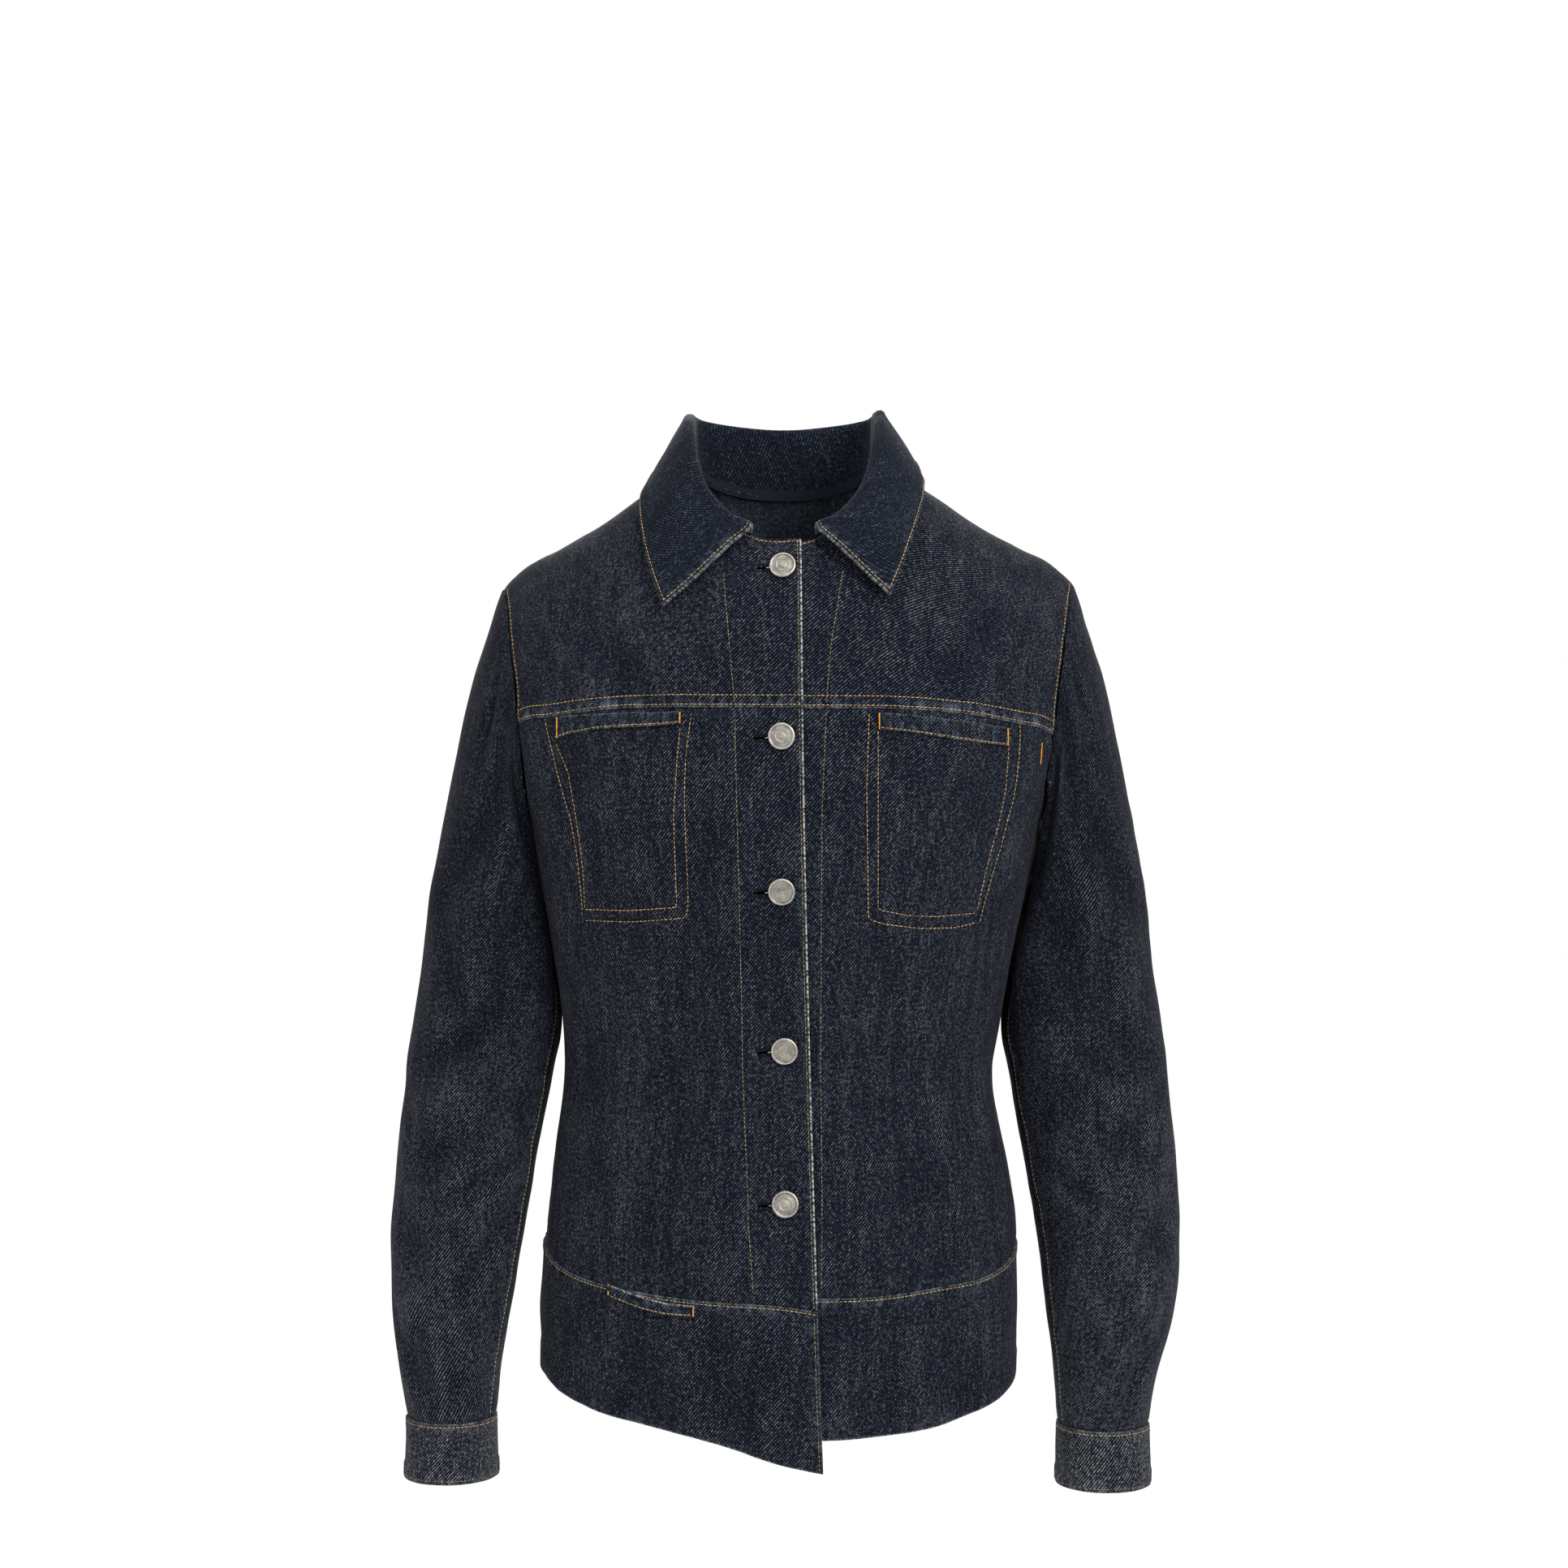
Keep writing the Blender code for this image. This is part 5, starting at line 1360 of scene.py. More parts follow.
def sleeve_surface(side):
    """Rows of points from the armhole to the cuff, with the ring angle of each column."""
    domain, ring_angle, front_seam = armhole_loop(side)
    start = body(domain[:, 0], domain[:, 1])
    low = (1 - np.cos(ring_angle)) / 2
    leave_x = side * (LEAVE_OUT[0] + LEAVE_OUT[1] * low)
    leave = np.stack([leave_x, LEAVE_FRONT * np.sin(ring_angle), LEAVE_UP[0] + LEAVE_UP[1] * low], -1)
    outward = body_normal(domain[:, 0], domain[:, 1])
    away = start.mean(axis=0) + np.array([side * ARMHOLE_REACH, 0, 0]) - start
    away = away - np.sum(away * outward, -1, keepdims=True) * outward
    start = start + unit(away) * ARMHOLE_GAP
    end = sleeve_ring(side, ring_angle, np.full(len(ring_angle), BICEPS_Z))
    pull = (LEAVE_PULL[0] + LEAVE_PULL[1] * low)[:, None]
    push = (ARRIVE_PULL[0] + ARRIVE_PULL[1] * low)[:, None]
    t = np.linspace(0, 1, HEAD_ROWS + 1)[:, None, None]
    head = cubic(t, start, unit(leave) * pull, end, np.array(ARRIVE) * (side, 1, 1) * push)
    heights = np.linspace(BICEPS_Z, SLEEVE_RINGS[side][0, 0], ARM_ROWS + 1)[1:]
    grid = np.concatenate([head, sleeve_ring(side, ring_angle[None, :], heights[:, None])])
    near = np.minimum(1, np.arange(len(grid)) * HEAD_CELLS / HEAD_ROWS / CLEARANCE_ROWS)
    clear = clear_of_body(grid[1:], (SLEEVE_CLEARANCE * near)[1:, None])
    from_outside = np.degrees(np.arccos(np.cos(ring_angle)))
    grid[1:] += (clear - grid[1:]) * soft_step(from_outside, *CLEARANCE_SPREAD)[:, None]
    ease = soft_step(-grid[..., 2], *EASE_START) * (1 - soft_step(-grid[..., 2], *EASE_END))
    grid[..., 0] += side * SLEEVE_EASE * ease * np.maximum(np.cos(ring_angle), 0) ** 2
    return grid, ring_angle, front_seam


# %% Creases of the sleeves
# Finer creases than the solids carry; the largest folds are the solids' own
SLEEVE_CREASES = {
    RIGHT: np.array([
        # ring angle in degrees, height, half-length, half-width, turn in degrees, depth
        (78, -165, 30, 6, 12, 1.4),
        (100, -205, 45, 7, 8, 1.8),
        (130, -235, 45, 8, -10, 2.2),
        (60, -340, 50, 8, -14, 1.4),
        (88, -372, 34, 7, 48, 1.5),
        (112, -470, 30, 7, 62, 1.7),
        (46, -440, 30, 7, -46, 1.4),
        (80, -500, 34, 7, -30, 1.3),
        (118, -520, 34, 7, 38, 1.4),
        (64, -560, 30, 7, 34, 1.2),
        (100, -590, 22, 6, -20, 1.2),
        (36, -575, 26, 6, -30, 1.0),
        (-60, -470, 30, 7, 40, 1.5),
        (-100, -520, 30, 7, -35, 1.4),
        (-50, -360, 40, 8, 20, 1.2),
        (170, -330, 40, 8, 0, 1.2),
    ]) * ROUND_UNITS,
    LEFT: np.array([
        (80, -160, 30, 6, 14, 1.4),
        (106, -200, 45, 7, 10, 1.8),
        (134, -240, 45, 8, -8, 2.2),
        (70, -330, 55, 8, -8, 1.5),
        (96, -385, 34, 7, 40, 1.4),
        (56, -430, 34, 7, -52, 1.6),
        (108, -480, 30, 7, 58, 1.6),
        (76, -530, 34, 7, -34, 1.4),
        (40, -520, 30, 7, 36, 1.1),
        (110, -570, 30, 7, 30, 1.3),
        (64, -600, 22, 6, -16, 1.1),
        (-60, -450, 30, 7, 42, 1.5),
        (-96, -530, 30, 7, -38, 1.4),
        (-50, -350, 40, 8, 16, 1.2),
        (170, -340, 40, 8, 0, 1.2),
    ]) * ROUND_UNITS,
}
SLEEVE_KINDS = {
    "top_sleeve": dict(hem="plain", top="plain", start="plain", end="stitched"),
    "under_sleeve": dict(hem="plain", top="plain", start="tucked", end="plain"),
}
SLEEVE_FIELD = 3.2 * MM
CREASE_GAIN = (1, 1, 1, 1, 1, 1.6)
RING_SAMPLES = 120
GIRTH_ROW = 0.6 * ARM_ROWS      # where the girth is measured that spaces the columns


def lay_sleeve(label, side, seed):
    """Lays the top and under sleeve, their rows running up from the cuff."""
    grid, ring_angle, front_seam = sleeve_surface(side)
    grid = grid[::-1]
    angle_grid = np.broadcast_to(ring_angle, grid.shape[:2])[..., None]
    both = np.concatenate([grid, angle_grid], -1)
    creases = np.concatenate([SLEEVE_FOLDS, SLEEVE_CREASES[side] * CREASE_GAIN]) * FOLD_UNITS
    spans = {"top_sleeve": (0, front_seam), "under_sleeve": (front_seam, len(ring_angle) - 1)}
    for piece, (first, last) in spans.items():
        seed += 10
        rows = graded(grid[:, (first + last) // 2], field=SLEEVE_FIELD)
        dense = np.linspace(first, last, RING_SAMPLES)
        ring = refine(both, np.array([GIRTH_ROW]), dense)[0, :, :3]
        columns = np.interp(graded(ring, field=SLEEVE_FIELD), np.arange(RING_SAMPLES), dense)
        fine = refine(both, rows, columns)
        points, degrees = fine[..., :3], np.degrees(fine[..., 3])
        height = points[..., 2]
        sink = troughs(degrees * MM * FOLD_SCALE, height, creases) * soft_step(height, *SLEEVE_FOLD_FADE)
        outward = points - grid[rows.round().astype(int)].mean(axis=1, keepdims=True)
        name = f"{piece}_{label}"
        finish = finishes["sleeve"]
        made = cloth(f"cloth_{name}", points, outward, SLEEVE_KINDS[piece], finish, seed, sink=sink)
        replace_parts(made, name)
        cloths[f"cloth_{name}"]["on"] = [f"cloth_side_front_{label}"]


SLEEVE_SEEDS = {"right": 300, "left": 340}
for label, side in SIDES.items():
    lay_sleeve(label, side, SLEEVE_SEEDS[label])
    print(label, "sleeve length in mm:", round(cloths[f"cloth_top_sleeve_{label}"]["size"]["length"] / MM))

# %% [markdown]
# ## Cuffs
# A cuff is a straight strip, turned once and a little more round the wrist, so that its last end laps over
# its first behind the arm and buttons there. A ring with two ends gives the lap by itself: the first end
# lies one thickness further in.

# %% Lay the cuffs
CUFF_FINE = (26, 130)
CUFF_WALL = 0.85 * BAND_WALL
CUFF_SEED = 400
CUFF_KINDS = dict(hem="folded", top="cuffed", start="stitched", end="stitched")


def cuff_place(side, ring_angle, drop, proud):
    """Last sleeve ring, standing proud of it and flaring with the drop."""
    wrist = SLEEVE_RINGS[side][0]
    grow = proud + CUFF_FLARE * drop / CUFF_HEIGHT
    x = side * ((wrist[1] + wrist[2]) / 2 + ((wrist[1] - wrist[2]) / 2 + grow) * np.cos(ring_angle))
    y = wrist[4] - (wrist[3] + grow) * np.sin(ring_angle)
    return np.stack(np.broadcast_arrays(x, y, wrist[0] - CUFF_GAP - drop), -1)


for label, side in SIDES.items():
    turn = np.linspace(CUFF_END, CUFF_END + 360 + CUFF_LAP, CUFF_FINE[1] + 1)
    under = 1 - soft_step(turn, *(CUFF_END + share * CUFF_LAP for share in CUFF_RAMP))
    proud = CUFF_PROUD - (BAND_WALL + LIE_GAP) * under
    drop = np.linspace(CUFF_HEIGHT, 0, CUFF_FINE[0] + 1)
    strip = cuff_place(side, np.radians(turn)[None, :], drop[:, None], proud[None, :])
    middle = np.array([side * SLEEVE_RINGS[side][0, 1:3].mean(), SLEEVE_RINGS[side][0, 4], 0])
    outward = (strip - middle) * (1, 1, 0)
    finish = finishes["cuff"]
    made = cloth(f"cloth_cuff_{label}", strip, outward, CUFF_KINDS, finish, CUFF_SEED + side, CUFF_WALL)
    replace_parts(made, f"cuff_{label}")
    cloths[f"cloth_cuff_{label}"]["on"] = [f"cloth_top_sleeve_{label}"]
print("cuff strips in mm:", round(cloths["cloth_cuff_left"]["size"]["width"] / MM))

# %% [markdown]
# ## Collar
# The collar is one piece that rises from the neckline, folds over and falls to its points. A column stands
# on each place of the neckline: up the stand, round the fold and down the leaf. The columns side by side
# are the whole collar, so its roll is soft at the back and opens towards the points by itself.

# %% Collar surface
def collar_surface():
    """Middle sheet of the folded collar: rows from the neckline up, over the fold and down to the edge."""
    halves = []
    for side in (RIGHT, LEFT):
        front = even_neck(side * COLLAR_START, side * NECK_HALF, 2 * NECK_SIDE_CELLS)
        back = even_neck(side * NECK_HALF, 0, NECK_BACK_CELLS, back=True)
        line = np.concatenate([front, back[1:]])
        halves.append(body(line[:, 0], line[:, 1]))
    share = running(halves[0])
    share = share / share[-1]
    base = np.concatenate([halves[0], halves[1][::-1][1:]])
    shares = np.concatenate([share, share[::-1][1:]])
    sign = np.concatenate([np.full(len(share), RIGHT), np.full(len(share) - 1, LEFT)])
    right, left = (
        np.array([through(shares, table[:, 0], table[:, k]) for k in range(1, 6)])
        for table in (COLLAR[RIGHT], COLLAR[LEFT])
    )
    stand, lean, across, depth, height = np.where(sign == RIGHT, right, left)
    centre_y = base[:, 1].min() * (1 - COLLAR_CENTRE) + base[:, 1].max() * COLLAR_CENTRE
    out = unit((base - (0, centre_y, 0)) * (1, 1, 0))
    up = np.array([0, 0, 1.0])
    foot = clear_of_body(base, COLLAR_LIFT)
    top = foot + stand[:, None] * up + lean[:, None] * out
    edge = clear_of_body(np.stack([sign * across, depth, height], -1), LEAF_LIFT)
    rise = np.linspace(0, 1, STAND_CELLS + 1)[:, None, None]
    turn = math.pi * np.arange(1, FOLD_CELLS + 1)[:, None, None] / FOLD_CELLS
    fall = np.linspace(0, 1, LEAF_CELLS + 1)[1:, None, None]
    fold = top + FOLD_RADIUS * (out * (1 - np.cos(turn)) + up * np.sin(turn))
    leaf = fold[-1] + (edge - fold[-1]) * fall + out * LEAF_BULGE * np.sin(math.pi * fall)
    leaf = clear_of_body(leaf, LEAF_LIFT + 2 * FOLD_RADIUS * (1 - fall[..., 0]) ** 2)
    return np.concatenate([foot + (top - foot) * rise, fold, leaf]), out


# %% Lay the collar
COLLAR_FIELD = 2.2 * MM
COLLAR_SEED = 500
NECK_TAPE_ROWS = np.array((-5.0, -1.5, 2.0))[:, None, None] * MM
NECK_TAPE_DEPTH = -0.9 * MM     # on the outer side of the stand
NECK_TAPE_FRONT = -10 * MM

sheet, out = collar_surface()
hint = np.zeros_like(sheet)
hint[STAND_CELLS + FOLD_CELLS:] = out
rows = graded(sheet[:, len(sheet[0]) // 4], field=COLLAR_FIELD)
columns = graded(sheet[-1])
fine, hint = refine(sheet, rows, columns), refine(hint, rows, columns)
made = cloth(
    "cloth_collar", fine + grid_normals(fine, hint) * BAND_WALL / 2, hint,
    dict(top="folded", start="worn", end="worn"), finishes["collar"], COLLAR_SEED, BAND_WALL,
)
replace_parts(made, "collar")
collar = cloths["cloth_collar"]
behind = np.flatnonzero(collar["points"][0, :, 1] > NECK_TAPE_FRONT)
foot, above = collar["points"][:2, behind]
across = unit(above - foot) * NECK_TAPE_ROWS
lay_tape("tape_neck", foot, across, collar["normal"][0, behind], NECK_TAPE_DEPTH)
print("collar edge in mm:", round(collar["size"]["width"] / MM))

# %% [markdown]
# ## Places on a laid cloth
# Pockets, thread and buttons follow the cloth's real surface, relief and all. A place is given by how far
# across and how high it is, and is found on the panel's grid: first the nearest vertex, then a few Newton
# steps between the vertices. A row of thread beside a seam is found from the distance to that edge.

# %% Find and sample places
FIND_STEPS = 5
FIND_REACH = 2              # cells that one step may move
INSIDE = 1.001              # keeps a place within the last cell
LINE_STEP = 1 * MM          # between the points of a line beside an edge
PLACE_STEP = 2 * MM         # between those of a line through places


def sample(name, rows, columns):
    """Points and normals of a cloth at fractional row and column numbers, blended from four vertices."""
    made = cloths[name]
    count = made["points"].shape
    rows = np.clip(rows, 0, count[0] - INSIDE)
    columns = np.clip(columns, 0, count[1] - INSIDE)
    r, c = rows.astype(int), columns.astype(int)
    s, t = (rows - r)[..., None], (columns - c)[..., None]
    found = []
    for grid in (made["points"], made["normal"]):
        low = grid[r, c] * (1 - t) + grid[r, c + 1] * t
        found.append(low * (1 - s) + (grid[r + 1, c] * (1 - t) + grid[r + 1, c + 1] * t) * s)
    return found[0], unit(found[1])


def find(name, places):
    """Row and column numbers of places given as (across, height)."""
    grid = cloths[name]["points"]
    flat = grid[..., [0, 2]].reshape(-1, 2)
    places = np.asarray(places, float)
    gap = np.sum(flat ** 2, -1) - 2 * places @ flat.T
    rows, columns = (v.astype(float) for v in np.divmod(np.argmin(gap, axis=-1), grid.shape[1]))

    def seen(rows, columns):
        return sample(name, rows, columns)[0][..., [0, 2]]

    def crossed(first, second):
        return first[..., 0] * second[..., 1] - first[..., 1] * second[..., 0]

    for _ in range(FIND_STEPS):
        miss = places - seen(rows, columns)
        up = seen(rows + 0.5, columns) - seen(rows - 0.5, columns)
        side = seen(rows, columns + 0.5) - seen(rows, columns - 0.5)
        area = crossed(up, side)
        area = np.where(np.abs(area) < TINY, TINY, area)
        rows = rows + np.clip(crossed(miss, side) / area, -FIND_REACH, FIND_REACH)
        columns = columns + np.clip(crossed(up, miss) / area, -FIND_REACH, FIND_REACH)
    return rows, columns


def even(points, normals, step):
    """The same line with points at even lengths."""
    length = running(points)
    at = np.linspace(0, length[-1], max(2, int(round(length[-1] / step)) + 1))
    both = np.concatenate([points, normals], -1)
    line = np.stack([np.interp(at, length, both[:, k]) for k in range(6)], -1)
    return line[:, :3], line[:, 3:]


def beside(name, edge, inset, first=0.0, last=None):
    """Line at a distance from a cloth's edge, from one running length along it to another.

    A length below 0 counts from the far end, as in a slice.
    """
    away = cloths[name]["away"][edge]
    flat = edge in ("hem", "top")
    lines = away.T if flat else away
    order = slice(None) if edge in ("hem", "start") else slice(None, None, -1)
    numbers = np.arange(lines.shape[1])[order]
    at = np.array([np.interp(inset, line[order], numbers) for line in lines])
    rest = np.arange(len(lines))
    points, normals = even(*(sample(name, at, rest) if flat else sample(name, rest, at)), LINE_STEP)
    part = slice(int(first / LINE_STEP), None if last is None else int(last / LINE_STEP))
    return points[part], normals[part]


def through_places(name, places):
    """Line on a cloth through (across, height) places in millimetres."""
    places = np.asarray(places, float) * MM
    length = running(places)
    at = np.linspace(0, length[-1], max(2, int(length[-1] / PLACE_STEP)))
    dense = np.stack([np.interp(at, length, places[:, k]) for k in (0, 1)], -1)
    return sample(name, *find(name, dense))


# %% [markdown]
# ## Thread
# Topstitching is thick cotton-wrapped thread. Each stitch is a small bulging grain that dives into the
# cloth at both ends, so the row reads as a dotted rope. Thousands are needed, so one grain of ten faces is
# placed along every row at once, each a little different in turn and length.

# %% Stitches
STITCH = 2.9 * MM
STITCH_GAP = 0.2 * MM
THREAD_RADIUS = 0.31 * MM
RADIUS_SPREAD = 0.10
DIVE = 0.30 * MM
PROUD = 0.10 * MM
GRAIN_ENDS = 0.45           # radius of a stitch at its ends, as a share of its middle
BAR_PITCH = 0.45 * MM
BAR_RADIUS = 0.30 * MM
BAR_LIFT = 0.15 * MM
BAR_TILT = 0.35
rows_of_thread = {}


def grain():
    """Twelve points in three rings along X, bulging in the middle, and the ten quads between them."""
    along = np.array([-0.5, 0.0, 0.5])[:, None]
    radius = np.array([GRAIN_ENDS, 1.0, GRAIN_ENDS])[:, None]
    turn = np.radians([45, 135, 225, 315])
    points = np.stack(np.broadcast_arrays(along, radius * np.cos(turn), radius * np.sin(turn)), -1)
    points = points.reshape(-1, 3)
    ring = np.arange(4)
    after = (ring + 1) % 4
    faces = [np.stack([k + ring, k + after, k + 4 + after, k + 4 + ring], -1) for k in (0, 4)]
    return points, np.concatenate(faces + [[[3, 2, 1, 0]], [[8, 9, 10, 11]]])


def sew(thread, points, normals, length=STITCH, radius=THREAD_RADIUS, gap=STITCH_GAP, loose=0.05):
    """Adds a row of stitches along a line to the thread's collection."""
    points, normals = even(points, normals, length)
    middle = (points[1:] + points[:-1]) / 2
    along = points[1:] - points[:-1]
    span = np.linalg.norm(along, axis=-1, keepdims=True)
    along = along / span
    normal = (normals[1:] + normals[:-1]) / 2
    normal = unit(normal - np.sum(normal * along, -1, keepdims=True) * along)
    side = np.cross(normal, along)
    swing = random.normal(0, loose, (len(middle), 1))
    along = along + side * swing
    side = np.cross(normal, along)
    shape, _ = grain()
    width = radius * (1 + random.normal(0, RADIUS_SPREAD, (len(middle), 1)))
    placed = middle[:, None] + shape[None, :, :1] * ((span - gap) * along)[:, None]
    placed = placed + shape[None, :, 1:2] * (width * side)[:, None]
    lift = shape[None, :, 2:] * width[:, None] + PROUD - DIVE * (shape[None, :, :1] != 0)
    placed = placed + lift * normal[:, None]
    shade = np.repeat(random.uniform(0, 1, len(middle)), len(shape))
    rows_of_thread.setdefault(thread, []).append((placed.reshape(-1, 3), shade))


def single(thread, ends, normal, radius, loose):
    """One stitch between two points of a cloth, with one normal for both ends or one for each."""
    ends = np.array(ends)
    whole = 2 * np.linalg.norm(ends[1] - ends[0])
    sew(thread, ends, normal + np.zeros((2, 3)), length=whole, radius=radius, gap=0, loose=loose)


def line_sides(points, normals):
    """Unit directions along a line on a cloth and beside it."""
    along = unit(np.gradient(points, axis=0))
    return along, unit(np.cross(normals, along))


def bar(thread, name, start, end, width):
    """Bartack: short satin stitches packed side by side across a line between two places."""
    points, normals = even(*through_places(name, [start, end]), BAR_PITCH)
    along, side = line_sides(points, normals)
    for k, (point, normal) in enumerate(zip(points, normals)):
        half = (side[k] + along[k] * (BAR_TILT if k % 2 else -BAR_TILT)) * width / 2
        raised = point + normal * BAR_LIFT
        single(thread, (raised - half, raised + half), normal, BAR_RADIUS, 0)


# %% Thread finish
def thread_finish(name, light, dark):
    """Cotton-wrapped polyester: matt, its colour a little uneven from stitch to stitch."""
    made, tree, shader = shader_of(name)
    shade = add(tree, "Attribute", {"attribute_name": "shade"}).outputs["Fac"]
    where = add(tree, "TexCoord").outputs["Object"]
    twist = add(tree, "TexNoise", Vector=where, Scale=1 / (0.7 * MM)).outputs["Fac"]
    both = add(tree, "Math", {"operation": "MULTIPLY_ADD"}, _0=twist, _1=0.8, _2=shade)
    tree.links.new(ramp(tree, both.outputs[0], ((0.25, dark), (1.15, light))), shader.inputs["Base Color"])
    shader.inputs["Roughness"].default_value = 0.7
    shader.inputs["Specular IOR Level"].default_value = 0.1
    return made


THREADS = {
    # material, its light and its dark colour
    "gold": ("gold_topstitch_thread", "#957a4a", "#5e4b2b"),
    "rust": ("rust_topstitch_thread", "#8a7349", "#45371f"),
    "tan": ("faded_tan_thread", "#6e5f43", "#2f281e"),
    "khaki": ("khaki_topstitch_thread", "#8d8468", "#5a543f"),
    "orange": ("orange_bartack_thread", "#b9812f", "#86571f"),
    "pale": ("pale_edge_thread", "#a9a59b", "#6f6e69"),
    "dark": ("navy_buttonhole_thread", "#030407", "#010101"),
}
finishes.update({thread: thread_finish(*look) for thread, look in THREADS.items()})
print("threads:", sorted(THREADS))

# %% Rows beside the seams
def row(thread, name, edge, inset, first=1, last=-1):
    """Row of stitches beside an edge of a cloth; all lengths in millimetres."""
    sew(thread, *beside(name, edge, inset * MM, first * MM, last * MM))


def armhole_row(edge):
    """Row on the back panel beside one armhole: its edge from a little above the armpit to the shoulder."""
    points, normals = beside("cloth_back_panel", edge, ARMHOLE_INSET)
    beside_sleeve = points[:, 2] > ARMPIT_Z + ARMHOLE_START
    sew("gold", points[beside_sleeve], normals[beside_sleeve])


ARMHOLE_INSET = 2.2 * MM
ARMHOLE_START = 4 * MM
for label, side in SIDES.items():
    yoke, panel, band, sleeve, cuff = (
        f"cloth_{part}_{label}" for part in ("front_yoke", "front_panel", "band_front", "top_sleeve", "cuff")
    )
    row("gold", yoke, "hem", 1.9)
    row("gold", yoke, "hem", 7.9)
    row("gold", yoke, "end", 2.2, 2, -2)
    row("gold", band, "top", 2.0)
    row("khaki", sleeve, "end", 2.2, 2, -2)
    row("tan", cuff, "hem", 2.4, 2, -2)
    armhole_row("start" if side == RIGHT else "end")
    row("gold", cuff, "top", 2.2, 2, -2)
    row("gold", cuff, "end", 2.2, 2, -2)
    for part in (yoke, panel, band):
        row("tan", part, "start", 2.4)
    row("gold", yoke, "top", 2.0, 1, 40)
row("gold", "cloth_band_back", "top", 2.0)
for edge in ("top", "start", "end"):
    row("gold", "cloth_collar", edge, 2.6, 2, -2)
print("rows beside the seams:", sum(len(parts) for parts in rows_of_thread.values()))

# %% [markdown]
# ## Pockets
# Each chest pocket hangs inside the front: its bag is held by rows of thread that show as the outline of a
# trapezium, and its mouth is closed by a narrow welt below the yoke. The welt is a folded strip, laid on
# the panel from the panel's own points moved out, so it bends with the chest.

# %% Lay the welts
WELT_FINE = (12, 60)
WELT_WALL = 1.2 * MM
WELT_CLOTH = 0.9 * WELT_WALL


def lay_welt(name, panel, lows, tops, seed, mouth="folded"):
    """Strip over a panel between two lines of (across, height) places in millimetres."""
    width = np.linspace(0, 1, WELT_FINE[1] + 1)
    lines = []
    for line in (lows, tops):
        line = np.asarray(line, float)
        share = np.linspace(0, 1, len(line))
        lines.append(np.stack([np.interp(width, share, line[:, k]) for k in (0, 1)], -1) * MM)
    rise = np.linspace(0, 1, WELT_FINE[0] + 1)[:, None, None]
    places = lines[0] * (1 - rise) + lines[1] * rise
    points, normals = sample(panel, *find(panel, places.reshape(-1, 2)))
    points = (points + normals * (LIE_GAP + WELT_WALL)).reshape(*places.shape[:2], 3)
    made = cloth(
        f"cloth_{name}", points, normals.reshape(points.shape), dict(hem="stitched", top=mouth),
        finishes["body"], seed, WELT_CLOTH,
    )
    cloths[f"cloth_{name}"]["on"] = [panel]
    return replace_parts(made, name)


RIGHT_PANEL, LEFT_PANEL = "cloth_front_panel_right", "cloth_front_panel_left"
lay_welt(
    "chest_welt_right", RIGHT_PANEL,
    [(-146.9, -182), (-138, -179), (-120, -176), (-100, -175), (-80, -174), (-65.5, -172.5)],
    [(-146.9, -167.9), (-138, -167.2), (-120, -166.4), (-100, -165.6), (-80, -165.3), (-65.5, -165)],
    seed=600)
lay_welt(
    "chest_welt_left", LEFT_PANEL,
    [(59.8, -176.5), (78, -178), (96, -180.5), (113, -183), (130, -185), (144.7, -186.5)],
    [(59.8, -165.6), (78, -167), (96, -169), (113, -171), (130, -173), (144.7, -175)],
    seed=610)
lay_welt(
    "band_welt_right", "cloth_band_front_right",
    [(-113, -537.5), (-101.6, -541.8), (-90, -546), (-73.8, -548.6), (-57, -549)],
    [(-113, -531.5), (-101.6, -535), (-90, -538), (-73.8, -541), (-57, -542)],
    seed=620, mouth="worn")

# %% Rows and bars of the pockets
FLANK_ROW = 132 * MM       # the row on the side front, from the welt down
for name, rows in {
    RIGHT_PANEL: [
        [(-146.9, -185), (-138.8, -203.7), (-134.1, -231.3), (-130.5, -254.8), (-128.9, -273.7),
         (-128.6, -291)],
        [(-128, -291.8), (-99.1, -292), (-68.2, -289.5), (-69.1, -263.6), (-70.1, -231.1), (-68, -196.6),
         (-66, -175)],
        [(-128, -299), (-96.5, -299.2), (-62.2, -296.2), (-60.9, -286.4), (-62.1, -254.3), (-63.3, -222.1),
         (-62.5, -194.5), (-58.8, -165.4)],
    ],
    LEFT_PANEL: [
        [(59.8, -177), (59.7, -228.5), (59.9, -291), (78.6, -294.8), (97.3, -295.8), (123.2, -294.1)],
        [(54.1, -166.2), (52.5, -213.1), (53, -254.3), (53.7, -297), (64.6, -300.4), (88.1, -303.3),
         (109.3, -303.2), (122.9, -300.4)],
        [(144.7, -187), (143, -213.1), (138.5, -236.1), (131.2, -261.7), (124.4, -292)],
    ],
}.items():
    for thread, line in zip(("rust", "gold", "rust"), rows):
        sew(thread, *through_places(name, line))
for label in SIDES:
    row("gold", f"cloth_chest_welt_{label}", "hem", 1.2)
    sew("rust", *beside(f"cloth_side_front_{label}", "start", 1.2 * MM, -FLANK_ROW))
row("gold", "cloth_band_welt_right", "hem", 1.0)
for welt, start, end in (
    ("cloth_chest_welt_right", (-146.2, -168.5), (-146.2, -181)),
    ("cloth_chest_welt_right", (-66.2, -165.6), (-66.2, -172)),
    ("cloth_chest_welt_left", (60.5, -166.2), (60.5, -175.8)),
    ("cloth_chest_welt_left", (144.0, -175.6), (144.0, -185.8)),
    ("cloth_band_welt_right", (-112.4, -532.2), (-112.4, -537)),
    ("cloth_band_welt_right", (-57.6, -542.6), (-57.6, -548.4)),
):
    bar("orange", welt, start, end, 1.0 * MM)
bar("orange", "cloth_side_front_left", (167.3, -184.5), (166.5, -198), 0.9 * MM)

